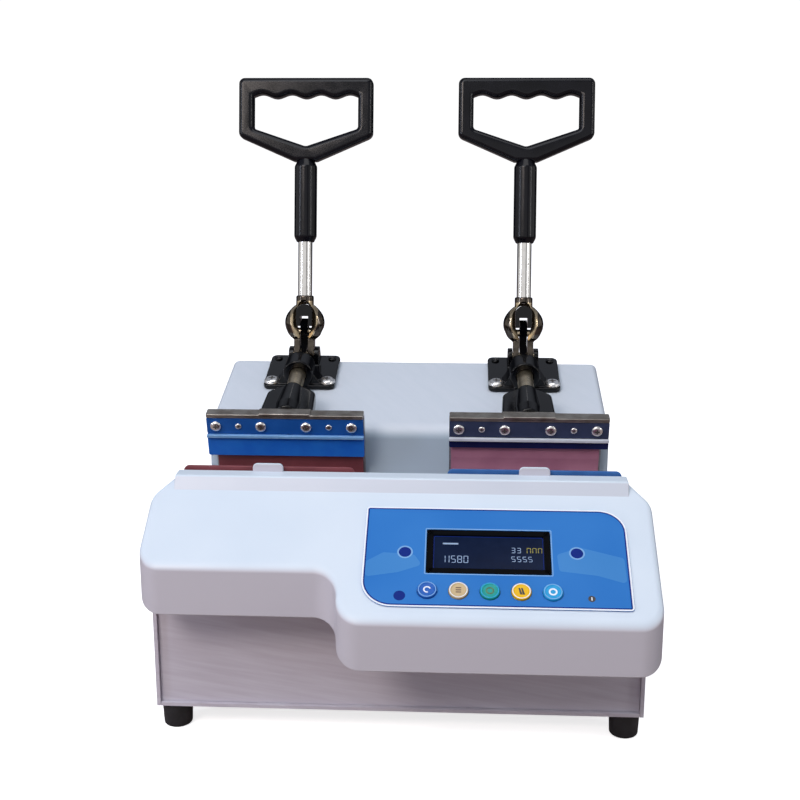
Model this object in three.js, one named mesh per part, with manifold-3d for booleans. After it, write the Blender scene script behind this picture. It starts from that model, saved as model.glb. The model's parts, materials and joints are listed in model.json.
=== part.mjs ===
// A bench press for two mugs: a low cabinet on four feet, a sloped console in front, a wedge-shaped
// housing behind, and between them two heated jaws. Each rear jaw slides on a plunger that its own
// upright handle drives forward. Millimetres, +Z up, the front of the machine faces -Y.
import * as THREE from "three";
import { mergeVertices } from "three/addons/utils/BufferGeometryUtils.js";
import Module from "manifold-3d";

const wasm = await Module();
wasm.setup();

// Driving dimensions
const fit = {
  gap: 0.3, // between faces that seat on each other
  overrun: 2, // how far a cutter runs past the face it cuts
  weld: 1e-4, // points nearer than this are one point
};
const deg = Math.PI / 180;

const foot = { height: 18.5, topRadius: 10.8, bottomRadius: 9.8, insetX: 11.5, insetY: 13, lip: 1.5 };

const cabinet = {
  width: 334,
  depth: 255,
  deckHeight: 92, // top of the deck above the bench
  wall: 2.5,
  frontY: -105,
  crossWallY: -88, // wall that closes the jaw well towards the console
  crossWallTop: 156,
  panelInset: 3,
};

const consoleOverhang = 0.5; // of the console past each side of the cabinet
const consoleSize = {
  width: cabinet.width + 2 * consoleOverhang,
  rearWidth: 306,
  frontY: -174, // front face of the deep right part
  stepY: -141, // front face of the shallow left part
  rearY: -69,
  creaseY: -86.5,
  creaseZ: 169.5,
  slope: 32 * deg,
  skirt: 34,
  wall: 2.5,
  edge: 4, // rounding of the upper rim
  edgeDrop: 3,
  cornerRadius: 15,
  shoulder: 14, // slanted rear corners
  stepX: -20, // where the S-shaped step ends on the right
  stepRadius: 16.5,
  lipTop: 178.5,
  lipFrontY: -82,
  tabWidth: 21,
  tabHeight: 5.5,
  tabThick: 2.5,
  tabRadius: 2.5,
};

const overlay = {
  left: -21,
  right: 149,
  top: 12.8, // measured down the slope from the crease
  bottom: 92.3,
  thick: 0.6,
  smallRadius: 2.5,
  largeRadiusTop: 18,
  largeRadiusBottom: 20,
};
const lcd = {
  left: 19.8,
  right: 99,
  top: 31.5,
  bottom: 66,
  proud: 0.5,
  flange: 3,
  depth: 7,
  frame: 4,
  recess: 1,
};
const button = {
  count: 5,
  firstX: 20.9,
  pitch: 19.6,
  down: 79.8,
  radius: 6.2,
  proud: 1.6, // above the overlay
  crown: 0.5,
  flangeRadius: 7.4,
  flangeThick: 1.2,
  travel: 1.2,
};
const board = {
  thick: 1.6,
  margin: 4,
  depth: 12, // of its upper face below the console's slope
  bossRadius: 3,
  bossInset: 6,
  switchSize: 6,
};

const housing = {
  width: 306,
  frontY: 33,
  rearY: 150,
  rearTop: 212.5,
  slope: 14.1 * deg,
  wall: 2.5,
  bendRadius: 12,
  rearRadius: 7,
  sideRound: 5,
};
const frameRoom = 22; // beside the mounting frame, to the housing's outside
const frameSize = {
  width: housing.width - 2 * frameRoom,
  thick: 4,
  legThick: 4,
  rear: 9,
  length: 51,
  legRear: 12,
  legDepth: 46,
};

const station = { spacing: 182 };
const bracket = {
  width: 58,
  rear: 3, // behind this distance from the rear edge of the slope the plate ends
  length: 57.5,
  thick: 4,
  corner: 4,
  axisHeight: 14, // plunger axis above the slope
  sleeveRadius: 12,
  sleeveLength: 25,
  sleeveChamfer: 5,
  webWidth: 17,
  webTop: 11.2,
  earHalf: 12.6, // from the middle to an ear's outer face
  earFootHalf: 9, // half length of an ear at the foot
  earTopHalf: 5.6,
  earHeight: 16.7,
  earRound: 5,
  earGap: 8.8, // half of the slot that the yoke turns in
  screwHole: 2.6,
  screwInsetX: 6.5,
  screwInsetY: 8,
};
const pivot = { back: 15, height: 11, radius: 3, pinClear: 0.3 };
const crank = { radius: 19, rest: 30 * deg, slotClear: 0.5 };
const lean = 25.3 * deg; // the handle leans back from the normal of the slope
const plunger = { radius: 6.25, rear: 30, length: 66, boreClear: 0.35 };
// Bar between the plunger and the crank pin, with the slot that the pin slides in
const link = {
  thick: 6,
  barBottom: 14.8,
  barHeight: 4.5, // low enough for the tongue's corners to pass through the sleeve's bore
  block: 12,
  top: 36.5,
  slotBottom: 23.6,
  slotTop: 33.9,
  tongue: 8, // length of the bar that sits in the plunger's slot
};

const shoe = {
  rear: 89,
  rearRadius: 8.3,
  frontRadius: 9.5,
  noseRadius: 8,
  noseLength: 2,
  halfWidth: 20.5,
  rearHalf: 19, // half width at the shoulder
  shoulder: 34, // from the front back to where the wings end
  wingLow: 6.5,
  wingTop: 19.5,
  wingRound: 1.8,
  corner: 3,
  socket: 7.3,
};
const yoke = {
  eyeRadius: 6.1,
  halfWidth: 8.3,
  neckTop: 12,
  slotHalf: 3.5,
  slotTop: 20,
  bulbHalf: 16.6,
  bulbTop: 40.5,
  bulbDepthShare: 0.6, // front-to-back size as a share of the width
  teardropHalf: 7,
  teardropLow: 14,
  teardropWide: 27,
  teardropTop: 42,
  collarRadius: 7.4,
  collarLow: 38,
  collarTop: 48.6,
  boreDepth: 5.5,
  coreLow: 31.5, // the core is solid above this height
  legLow: 23.2, // and its two legs reach down to this one
  legClear: 0.45, // between a leg and the link's block
  coreDepth: 7,
};
// Outer shape of the yoke's bulb, as shares of its height above the pivot pin and of its half width
const bulbShares = [
  { up: 0.123, out: 0.5 },
  { up: 0.272, out: 0.506 },
  { up: 0.358, out: 0.723 },
  { up: 0.469, out: 0.904 },
  { up: 0.63, out: 1 },
  { up: 0.778, out: 0.94 },
  { up: 0.901, out: 0.747 },
  { up: 1, out: 0.506 },
];
const rod = { radius: 5.9, top: 140 };
const grip = {
  sleeveRadius: 9.4,
  sleeveBottom: 93,
  sleeveRound: 3,
  sleeveTop: 165,
  width: 111.5,
  top: 228,
  barSide: 12.4,
  shoulderZ: 179.7,
  throatZ: 159.5,
  innerTop: 213,
  innerSideZ: 186.4,
  innerVeeZ: 171.9,
  thick: 14,
  corner: 5,
  bevel: 2.2,
  scallopPitch: 24.2,
  scallopDepth: 1.6,
};

const jaw = {
  mugRadius: 41,
  axisY: -35, // axis of the clamped mug
  axisZ: 142,
  width: 118.4,
  mat: 3,
  shell: 2,
  matInset: 1.5,
  outboardShort: 4.5, // the rear layers end this much inside the strips, on the machine's outer side
  matDrop: 1 * deg, // the front mat ends this much below its shell
  rearTopAngle: 12 * deg,
  rearBottomAngle: -75 * deg,
  frontTopAngle: 45 * deg,
  frontBottomAngle: -50 * deg,
  rimTop: 181,
  arcSteps: 18,
};
const strip = {
  screwTop: 17.3,
  screwBottom: 4.2,
  thick: 3.2,
  bandBottomLeft: -14.7,
  bandBottomRight: -5.2,
  lipBottom: 1.3,
  lipSlant: 0.7,
  lipTop: 3.9,
  lipProud: 2.2,
  width: 118,
};
const topPlate = {
  bottom: 17.6,
  thick: 3,
  pad: 1, // the middle stands this much higher than the sides
  padHalf: 19.5,
  front: 141.6,
  rear: 132.3,
};
const cradle = {
  thick: 3,
  ribThick: 4,
  ribX: 34, // from the middle of each jaw
  front: -84,
  rear: -52,
  ribRear: -60,
  ribTop: 132,
  halfWidth: 146,
};

const rearPanel = { thick: 2.4, rearInset: 3 };
const inlet = {
  x: -110,
  z: 56,
  flangeW: 48,
  flangeH: 27,
  flange: 3,
  bodyW: 27,
  bodyH: 20,
  body: 18, // depth behind the rear panel's face
  mouthW: 24,
  mouthH: 16.5,
  mouth: 14,
  pinW: 2,
  pinH: 5,
  pinPitch: 7,
  pinLift: 2.5,
};
const rocker = {
  x: -58,
  z: 56,
  flangeW: 31,
  flangeH: 25,
  flange: 2,
  bodyW: 27,
  bodyH: 21.5,
  body: 15,
  mouthW: 22.5,
  mouthH: 17,
  half: 7.3, // half height of the key
  width: 21.5,
  proud: 4.4,
  dish: 1.6,
  root: 4,
  pinRadius: 1.5,
  pivotIn: 3, // pivot behind the face of the flange
  tilt: 8 * deg, // the upper half is pressed in
};
const supply = {
  width: 98,
  depth: 64,
  height: 40,
  x: 62,
  fromRear: 80,
  round: 2,
  standoff: 4,
  standoffRadius: 3,
};
const relay = {
  width: 96,
  depth: 46,
  base: 4,
  fin: 2,
  fins: 9,
  height: 22,
  x: -70,
  fromRear: 80,
  blockW: 44,
  blockD: 40,
  blockH: 18,
};

// Values that follow from the driving dimensions
const cabinetRear = cabinet.frontY + cabinet.depth;
const stationX = station.spacing / 2;
const stroke = 2 * crank.radius * Math.sin(crank.rest);
const slopeRise = Math.tan(consoleSize.slope);
// Height of the console's sloped plane, carried on to y = 0
const slopeZero = consoleSize.creaseZ - consoleSize.creaseY * slopeRise;

// Shape helpers: geometry first, then solids that can be joined and cut
function solid(geometry) {
  const bare = geometry.index ? geometry.toNonIndexed() : geometry.clone();
  bare.deleteAttribute("normal");
  bare.deleteAttribute("uv");
  const merged = mergeVertices(bare, fit.weld);
  return new wasm.Manifold(
    new wasm.Mesh({
      numProp: 3,
      vertProperties: merged.attributes.position.array,
      triVerts: new Uint32Array(merged.index.array),
    }),
  );
}

function geometryOf(body) {
  const mesh = body.getMesh();
  const geometry = new THREE.BufferGeometry();
  geometry.setAttribute("position", new THREE.BufferAttribute(new Float32Array(mesh.vertProperties), 3));
  geometry.setIndex(new THREE.BufferAttribute(new Uint32Array(mesh.triVerts), 1));
  const flat = geometry.toNonIndexed();
  flat.computeVertexNormals();
  return flat;
}

function join(...geometries) {
  return geometries.map(solid).reduce((sum, next) => sum.add(next));
}

function cut(body, ...geometries) {
  return geometries.map(solid).reduce((rest, next) => rest.subtract(next), body);
}

// A box between two corners
function block(x0, x1, y0, y1, z0, z1) {
  const geometry = new THREE.BoxGeometry(x1 - x0, y1 - y0, z1 - z0);
  return geometry.translate((x0 + x1) / 2, (y0 + y1) / 2, (z0 + z1) / 2);
}

function roundBar(axis, radius, from, to, sides = 24) {
  const geometry = new THREE.CylinderGeometry(radius, radius, to - from, sides);
  geometry.translate(0, (from + to) / 2, 0);
  if (axis === "z") geometry.rotateX(Math.PI / 2);
  if (axis === "x") geometry.rotateZ(-Math.PI / 2);
  return geometry;
}

// A closed outline of [radius, height] points, turned round the Z axis
function turned(points, sides = 24) {
  const profile = points.map(([radius, height]) => new THREE.Vector2(radius, height));
  return new THREE.LatheGeometry(profile, sides).rotateX(Math.PI / 2);
}

function polygon(points) {
  const shape = new THREE.Shape();
  points.forEach(([u, v], i) => (i ? shape.lineTo(u, v) : shape.moveTo(u, v)));
  shape.closePath();
  return shape;
}

// A polygon whose corners are rounded by arcs: each point is [u, v, radius]
function roundedPolygon(points, steps = 5) {
  const corners = points.map(([u, v, radius]) => ({ p: new THREE.Vector2(u, v), radius }));
  const outline = [];
  corners.forEach(({ p, radius }, i) => {
    const before = corners[(i + corners.length - 1) % corners.length].p;
    const after = corners[(i + 1) % corners.length].p;
    if (!radius) {
      outline.push([p.x, p.y]);
      return;
    }
    const a = before.clone().sub(p).normalize();
    const b = after.clone().sub(p).normalize();
    const half = Math.acos(THREE.MathUtils.clamp(a.dot(b), -1, 1)) / 2;
    const centre = p.clone().addScaledVector(a.clone().add(b).normalize(), radius / Math.sin(half));
    const start = p.clone().addScaledVector(a, radius / Math.tan(half)).sub(centre);
    const end = p.clone().addScaledVector(b, radius / Math.tan(half)).sub(centre);
    let sweep = end.angle() - start.angle();
    if (sweep > Math.PI) sweep -= 2 * Math.PI;
    if (sweep < -Math.PI) sweep += 2 * Math.PI;
    for (let k = 0; k <= steps; k++) {
      const turn = start.clone().rotateAround(new THREE.Vector2(), (sweep * k) / steps);
      outline.push([centre.x + turn.x, centre.y + turn.y]);
    }
  });
  return polygon(outline);
}

function roundedRect(u0, u1, v0, v1, radius) {
  return roundedPolygon([[u0, v0, radius], [u1, v0, radius], [u1, v1, radius], [u0, v1, radius]], 4);
}

function extrude(shape, depth, bevel = 0, bevelDrop = bevel, segments = 2) {
  const options = { depth: depth - (bevel ? 2 * bevelDrop : 0), curveSegments: 12, bevelEnabled: bevel > 0 };
  Object.assign(options, { bevelSize: bevel, bevelOffset: -bevel });
  Object.assign(options, { bevelThickness: bevelDrop, bevelSegments: segments });
  return new THREE.ExtrudeGeometry(shape, options).translate(0, 0, bevel ? bevelDrop : 0);
}

// An (x, y) outline raised from z0 to z1
function plan(shape, z0, z1, ...bevel) {
  return extrude(shape, z1 - z0, ...bevel).translate(0, 0, z0);
}

// A (y, z) outline run along X from x0 to x1
function side(shape, x0, x1, ...bevel) {
  const turn = new THREE.Matrix4().makeBasis(
    new THREE.Vector3(0, 1, 0),
    new THREE.Vector3(0, 0, 1),
    new THREE.Vector3(1, 0, 0),
  );
  return extrude(shape, x1 - x0, ...bevel).applyMatrix4(turn).translate(x0, 0, 0);
}

// An (x, z) outline run along Y from y0 to y1
function front(shape, y0, y1, ...bevel) {
  return extrude(shape, y1 - y0, ...bevel).rotateX(Math.PI / 2).translate(0, y1, 0);
}

// A strip between two radii about a centre, in the (y, z) plane; angles from +Y towards +Z
function arcBand(cy, cz, r0, r1, a0, a1, steps) {
  const at = (r, k) => {
    const a = a0 + ((a1 - a0) * k) / steps;
    return [cy + r * Math.cos(a), cz + r * Math.sin(a)];
  };
  const ks = Array.from({ length: steps + 1 }, (_, k) => k);
  return polygon([...ks.map((k) => at(r1, k)), ...ks.reverse().map((k) => at(r0, k))]);
}

// Finishes
function finish(color, roughness, metalness) {
  return new THREE.MeshStandardMaterial({ color, roughness, metalness });
}

const paint = {
  white: finish(0xe3e8ee, 0.4, 0),
  cabinet: finish(0xc9c3c8, 0.5, 0.1),
  inner: finish(0x9aa0a6, 0.5, 0.6),
  rubber: finish(0x141414, 0.8, 0),
  black: finish(0x101012, 0.35, 0.1),
  blackPlastic: finish(0x0c0c0e, 0.25, 0),
  overlay: finish(0x3577c0, 0.35, 0),
  screen: finish(0x0a0f1e, 0.15, 0),
  chrome: finish(0xc9c6c0, 0.12, 1),
  steel: finish(0x9d968a, 0.35, 1),
  blue: finish(0x1f57a6, 0.35, 0.3),
  navy: finish(0x232a45, 0.35, 0.3),
  silicone: finish(0x6b2f33, 0.6, 0),
  board: finish(0x1d5b3a, 0.5, 0),
};
const buttonColours = [0x2d6fb8, 0xc8b083, 0x2fa58a, 0xf2b91e, 0x4fb4dc];

const machine = new THREE.Group();

function add(parent, name, body, material) {
  const mesh = new THREE.Mesh(body.isBufferGeometry ? body : geometryOf(body), material);
  mesh.name = name;
  parent.add(mesh);
  return mesh;
}

// Cabinet, its panels and the four feet
function addCabinet() {
  const half = cabinet.width / 2;
  const { wall, frontY, deckHeight, crossWallY } = cabinet;
  const rimAt = (y) => slopeZero - consoleSize.skirt - fit.gap + y * slopeRise;
  const cheek = polygon([
    [frontY, foot.height],
    [cabinetRear, foot.height],
    [cabinetRear, deckHeight],
    [consoleSize.rearY, deckHeight],
    [consoleSize.rearY, rimAt(consoleSize.rearY)],
    [frontY, rimAt(frontY)],
  ]);
  const wellHalf = housing.width / 2;
  const body = join(
    side(cheek, -half, -half + wall),
    side(cheek, half - wall, half),
    block(-half, half, crossWallY, cabinetRear, deckHeight - wall, deckHeight),
    block(-half, half, crossWallY, crossWallY + wall, deckHeight - wall, rimAt(crossWallY)),
    block(-wellHalf, wellHalf, crossWallY, crossWallY + wall, deckHeight, cabinet.crossWallTop),
  );
  add(machine, "base_cabinet", body, paint.cabinet);

  const inner = half - wall - fit.gap;
  const panelY = frontY + cabinet.panelInset;
  const plateTop = foot.height + wall;
  add(
    machine,
    "front_panel",
    block(-inner, inner, panelY, panelY + wall, plateTop + fit.gap, rimAt(frontY)),
    paint.cabinet,
  );
  add(machine, "base_plate", block(-inner, inner, frontY, cabinetRear, foot.height, plateTop), paint.inner);

  const profile = [
    [0, 0],
    [foot.bottomRadius - foot.lip, 0],
    [foot.bottomRadius, foot.lip],
    [foot.topRadius, foot.height - fit.gap],
    [0, foot.height - fit.gap],
  ];
  for (const [nameY, y] of [["front", frontY + foot.insetY], ["rear", cabinetRear - foot.insetY]]) {
    for (const [nameX, sign] of [["left", -1], ["right", 1]]) {
      const mesh = add(machine, `foot_${nameY}_${nameX}`, turned(profile, 20), paint.rubber);
      mesh.position.set(sign * (half - foot.insetX), y, 0);
    }
  }
}

// Console: outline seen from above, from the rear left corner round to the rear right one
function consoleOutline(inset, rearY) {
  const { width, rearWidth, frontY, stepY, cornerRadius, stepRadius, stepX, shoulder } = consoleSize;
  const half = width / 2 - inset;
  const rear = rearWidth / 2 - inset;
  const shoulderY = consoleSize.rearY - shoulder;
  const radius = cornerRadius - inset;
  return roundedPolygon(
    [
      [-rear, rearY, 0],
      [-rear, consoleSize.rearY, 0],
      [-half, shoulderY - shoulder / 2, shoulder],
      [-half, stepY + inset, radius],
      [stepX - stepRadius + inset, stepY + inset, stepRadius],
      [stepX - stepRadius + inset, frontY + inset, stepRadius],
      [half, frontY + inset, radius],
      [half, shoulderY - shoulder / 2, shoulder],
      [rear, consoleSize.rearY, 0],
      [rear, rearY, 0],
    ],
    6,
  );
}

// The frame that lies on the console's slope: origin at the crease, -Y down the slope, Z off it
const panelMatrix = new THREE.Matrix4()
  .makeTranslation(0, consoleSize.creaseY, consoleSize.creaseZ)
  .multiply(new THREE.Matrix4().makeRotationX(consoleSize.slope));

// Raises a level slab onto the slope, its walls still upright
const shear = new THREE.Matrix4().set(1, 0, 0, 0, 0, 1, 0, 0, 0, slopeRise, 1, 0, 0, 0, 0, 1);

function onPanel(geometry) {
  return geometry.applyMatrix4(panelMatrix);
}

function buttonX(i) {
  return button.firstX + i * button.pitch;
}

const boardTop = -board.depth;
const boardSpan = {
  left: overlay.left + board.margin,
  right: overlay.right - board.margin,
  top: overlay.top + board.margin,
  bottom: overlay.bottom - board.margin,
};

function consoleShell() {
  const { wall, skirt, edge, edgeDrop, rearY, lipTop, lipFrontY, creaseY, creaseZ } = consoleSize;
  const outer = plan(consoleOutline(0, rearY), slopeZero - skirt - edgeDrop, slopeZero, edge, edgeDrop, 3);
  const inner = plan(consoleOutline(wall, rearY + fit.overrun * 2), slopeZero - skirt * 2, slopeZero - wall);
  const tall = consoleSize.width;
  const below = plan(consoleOutline(-fit.overrun, rearY + tall), slopeZero - tall, slopeZero - skirt);
  let shell = cut(
    solid(outer.applyMatrix4(shear)),
    below.applyMatrix4(shear),
    inner.applyMatrix4(shear),
    block(-tall, tall, rearY - tall, rearY + tall, lipTop, lipTop + tall),
  );
  const rearHalf = consoleSize.rearWidth / 2;
  const lip = polygon([
    [rearY, lipTop],
    [lipFrontY, lipTop],
    [creaseY, creaseZ],
    [creaseY + wall, creaseZ - wall / 2],
    [rearY, lipTop - wall],
  ]);
  shell = shell.add(solid(side(lip, -rearHalf, rearHalf)));
  for (const sign of [-1, 1]) {
    const x = sign * stationX;
    const tab = roundedPolygon([
      [x - consoleSize.tabWidth / 2, lipTop - wall / 2, 0],
      [x + consoleSize.tabWidth / 2, lipTop - wall / 2, 0],
      [x + consoleSize.tabWidth / 2, lipTop + consoleSize.tabHeight, consoleSize.tabRadius],
      [x - consoleSize.tabWidth / 2, lipTop + consoleSize.tabHeight, consoleSize.tabRadius],
    ]);
    shell = shell.add(solid(front(tab, rearY - consoleSize.tabThick, rearY)));
  }
  // Bosses under the skin that carry the circuit board
  for (const x of [boardSpan.left + board.bossInset, boardSpan.right - board.bossInset]) {
    for (const down of [boardSpan.top + board.bossInset, boardSpan.bottom - board.bossInset]) {
      const boss = roundBar("z", board.bossRadius, boardTop + fit.gap, -wall / 2, 12).translate(x, -down, 0);
      shell = shell.add(solid(onPanel(boss)));
    }
  }
  const window = block(
    lcd.left - fit.gap,
    lcd.right + fit.gap,
    -lcd.bottom - fit.gap,
    -lcd.top + fit.gap,
    -wall - fit.overrun,
    fit.overrun,
  );
  shell = cut(shell, onPanel(window));
  for (let i = 0; i < button.count; i++) {
    const hole = roundBar("z", button.radius + fit.gap, -wall - fit.overrun, fit.overrun);
    shell = cut(shell, onPanel(hole.translate(buttonX(i), -button.down, 0)));
  }
  return shell;
}

function addConsole() {
  const { wall, skirt } = consoleSize;
  add(machine, "console_shell", consoleShell(), paint.white);

  const floorTop = slopeZero - skirt + wall;
  const underside = plan(consoleOutline(wall + fit.gap, consoleSize.rearY), floorTop - wall, floorTop);
  const frontOnly = block(
    -cabinet.width,
    cabinet.width,
    cabinet.frontY - fit.gap,
    cabinet.frontY + cabinet.depth,
    0,
    consoleSize.creaseZ,
  );
  add(machine, "console_base", cut(solid(underside.applyMatrix4(shear)), frontOnly), paint.white);

  const panel = new THREE.Group();
  panel.applyMatrix4(panelMatrix);
  machine.add(panel);

  const outline = roundedPolygon([
    [overlay.left, -overlay.top, overlay.smallRadius],
    [overlay.left, -overlay.bottom, overlay.largeRadiusBottom],
    [overlay.right, -overlay.bottom, overlay.smallRadius],
    [overlay.right, -overlay.top, overlay.largeRadiusTop],
  ]);
  const skin = solid(plan(outline, fit.gap, fit.gap + overlay.thick));
  const window = block(
    lcd.left - fit.gap,
    lcd.right + fit.gap,
    -lcd.bottom - fit.gap,
    -lcd.top + fit.gap,
    -fit.overrun,
    fit.overrun,
  );
  const holes = Array.from({ length: button.count }, (_, i) =>
    roundBar("z", button.radius + fit.gap, -fit.overrun, fit.overrun).translate(buttonX(i), -button.down, 0),
  );
  add(panel, "control_overlay", cut(skin, window, ...holes), paint.overlay);

  const moduleTop = -wall - fit.gap;
  const display = join(
    block(lcd.left, lcd.right, -lcd.bottom, -lcd.top, moduleTop - lcd.depth, fit.gap + lcd.proud),
    block(
      lcd.left - lcd.flange,
      lcd.right + lcd.flange,
      -lcd.bottom - lcd.flange,
      -lcd.top + lcd.flange,
      moduleTop - lcd.depth,
      moduleTop,
    ),
  );
  const glass = block(
    lcd.left + lcd.frame,
    lcd.right - lcd.frame,
    -lcd.bottom + lcd.frame,
    -lcd.top - lcd.frame,
    fit.gap + lcd.proud - lcd.recess,
    fit.gap + lcd.proud + fit.overrun,
  );
  add(panel, "lcd_module", cut(display, glass), paint.screen);

  const switchTop = -wall - fit.gap - button.flangeThick - button.travel - fit.gap;
  for (let i = 0; i < button.count; i++) {
    const top = fit.gap + overlay.thick + button.proud;
    const flangeTop = -wall - fit.gap;
    const cap = turned([
      [0, flangeTop - button.flangeThick],
      [button.flangeRadius, flangeTop - button.flangeThick],
      [button.flangeRadius, flangeTop],
      [button.radius, flangeTop],
      [button.radius, top - button.crown],
      [button.radius - button.crown, top],
      [0, top],
    ]);
    const colour = finish(buttonColours[i], 0.35, 0);
    add(panel, `panel_button_${i + 1}`, cap, colour).position.set(buttonX(i), -button.down, 0);
  }

  const { left, right, top, bottom } = boardSpan;
  let circuit = solid(block(left, right, -bottom, -top, boardTop - board.thick, boardTop));
  for (let i = 0; i < button.count; i++) {
    const size = board.switchSize / 2;
    const key = block(-size, size, -size, size, boardTop - board.thick, switchTop);
    circuit = circuit.add(solid(key.translate(buttonX(i), -button.down, 0)));
  }
  add(panel, "control_board", circuit, paint.board);
}

// Housing behind the jaws, and the steel frame inside it that the two brackets bolt to
const slopeMatrix = new THREE.Matrix4()
  .makeTranslation(0, housing.rearY, housing.rearTop)
  .multiply(new THREE.Matrix4().makeRotationX(housing.slope));

function housingProfile(inset, bottom) {
  const frontTop = housing.rearTop - (housing.rearY - housing.frontY) * Math.tan(housing.slope);
  const drop = inset / Math.cos(housing.slope);
  const rise = inset * Math.tan(housing.slope);
  return roundedPolygon([
    [housing.frontY + inset, bottom, 0],
    [housing.rearY - inset, bottom, 0],
    [housing.rearY - inset, housing.rearTop - drop - rise, housing.rearRadius - inset],
    [housing.frontY + inset, frontTop - drop + rise, housing.bendRadius - inset],
  ]);
}

function addHousing() {
  const half = housing.width / 2;
  const { wall, sideRound, frontY, rearY, rearTop } = housing;
  const seat = cabinet.deckHeight + fit.gap;
  const below = cabinet.deckHeight - sideRound * 2;
  const shell = cut(
    solid(side(housingProfile(0, below), -half, half, sideRound, sideRound, 3)),
    side(housingProfile(wall, below - fit.overrun), -half + wall, half - wall),
    block(-half, half, frontY - fit.overrun, rearY + fit.overrun, below - fit.overrun * 2, seat),
  );
  add(machine, "rear_housing", shell, paint.white);

  const plateHalf = frameSize.width / 2;
  const plateTop = -wall - fit.gap;
  const rear = -frameSize.rear;
  const plateFront = rear - frameSize.length;
  const plate = block(-plateHalf, plateHalf, plateFront, rear, plateTop - frameSize.thick, plateTop);
  const legRear = rearY - frameSize.legRear;
  const leg = polygon([
    [legRear - frameSize.legDepth, seat],
    [legRear, seat],
    [legRear, rearTop],
    [legRear - frameSize.legDepth, rearTop],
  ]);
  const above = block(-half, half, -rearY, rearY, plateTop - frameSize.thick / 2, rearTop);
  const legs = [-1, 1].map((sign) => {
    const x = sign * (plateHalf - frameSize.legThick / 2);
    return solid(side(leg, x - frameSize.legThick / 2, x + frameSize.legThick / 2));
  });
  const trimmed = legs.map((body) => cut(body, above.clone().applyMatrix4(slopeMatrix)));
  const steel = trimmed.reduce((sum, next) => sum.add(next), solid(plate.applyMatrix4(slopeMatrix)));
  add(machine, "mount_frame", steel, paint.inner);
}

// Toggle bracket, in the frame of the housing's slope: -Y runs forward along it, Z stands off it
function bracketBody() {
  const half = bracket.width / 2;
  const rear = -bracket.rear;
  const frontEnd = rear - bracket.length;
  const top = fit.gap + bracket.thick;
  const { axisHeight, sleeveRadius, sleeveChamfer } = bracket;
  const sleeveRear = frontEnd + bracket.sleeveLength;
  const sleeve = turned([
    [0, 0],
    [sleeveRadius, 0],
    [sleeveRadius, bracket.sleeveLength - sleeveChamfer],
    [sleeveRadius - sleeveChamfer, bracket.sleeveLength],
    [0, bracket.sleeveLength],
  ]);
  sleeve.rotateX(-Math.PI / 2).translate(0, frontEnd, axisHeight);
  const web = polygon([
    [-bracket.webWidth, fit.gap + top / 2],
    [bracket.webWidth, fit.gap + top / 2],
    [bracket.webTop, axisHeight],
    [-bracket.webTop, axisHeight],
  ]);
  const ears = roundedPolygon([
    [-pivot.back - bracket.earFootHalf, top / 2, 0],
    [-pivot.back + bracket.earFootHalf, top / 2, 0],
    [-pivot.back + bracket.earTopHalf, bracket.earHeight, bracket.earRound],
    [-pivot.back - bracket.earTopHalf, bracket.earHeight, bracket.earRound],
  ]);
  const body = join(
    plan(roundedRect(-half, half, frontEnd, rear, bracket.corner), fit.gap, top),
    sleeve,
    front(web, frontEnd + sleeveChamfer, sleeveRear - sleeveChamfer),
    side(ears, -bracket.earHalf, bracket.earHalf),
  );
  const bore = plunger.radius + plunger.boreClear;
  const holes = [];
  for (const x of [-half + bracket.screwInsetX, half - bracket.screwInsetX]) {
    for (const y of [frontEnd + bracket.screwInsetY, rear - bracket.screwInsetY]) {
      holes.push(roundBar("z", bracket.screwHole, -fit.overrun, top + fit.overrun, 12).translate(x, y, 0));
    }
  }
  return cut(
    body,
    roundBar("y", bore, frontEnd - fit.overrun, sleeveRear + fit.overrun).translate(0, 0, axisHeight),
    block(-bracket.earGap, bracket.earGap, -pivot.back - half / 2, fit.overrun, top, axisHeight + half),
    roundBar("x", pivot.radius + pivot.pinClear, -half, half).translate(0, -pivot.back, pivot.height),
    ...holes,
  );
}

// Outline of the yoke's opening, or of what fills it with a gap all round
function teardropOutline(gap) {
  const low = yoke.slotHalf - gap;
  const wide = yoke.teardropHalf - gap;
  const top = yoke.teardropTop - gap;
  return roundedPolygon([
    [-low, yoke.teardropLow, 0],
    [low, yoke.teardropLow, 0],
    [wide, yoke.teardropWide, wide],
    [wide, top, wide - fit.gap],
    [-wide, top, wide - fit.gap],
    [-wide, yoke.teardropWide, wide],
  ]);
}

// Yoke that the handle screws into, in the handle's frame: origin at the pivot pin, Z up the handle
function yokeBody() {
  const { eyeRadius, halfWidth, neckTop, slotHalf, bulbDepthShare } = yoke;
  const skin = bulbShares.map(({ up, out }) => [out * yoke.bulbHalf, up * yoke.bulbTop]);
  const bulb = turned([[0, skin[0][1]], ...skin, [0, yoke.bulbTop]], 28).scale(1, bulbDepthShare, 1);
  const body = join(
    bulb,
    block(-halfWidth, halfWidth, -eyeRadius, eyeRadius, 0, neckTop),
    roundBar("x", eyeRadius, -halfWidth, halfWidth),
    roundBar("z", yoke.collarRadius, yoke.collarLow, yoke.collarTop),
  );
  const deep = yoke.bulbHalf;
  return cut(
    body,
    block(-slotHalf, slotHalf, -deep, deep, -eyeRadius - fit.overrun, yoke.slotTop),
    front(teardropOutline(0), -deep, deep),
    roundBar("x", pivot.radius + pivot.pinClear, -deep, deep),
    crankPin(pivot.radius + pivot.pinClear, deep),
    roundBar("z", rod.radius + fit.gap, yoke.collarTop - yoke.boreDepth, yoke.collarTop + fit.overrun),
  );
}

function crankPin(radius, halfLength) {
  const offset = crank.rest - lean;
  const pin = roundBar("x", radius, -halfLength, halfLength);
  return pin.translate(0, crank.radius * Math.sin(offset), crank.radius * Math.cos(offset));
}

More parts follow.
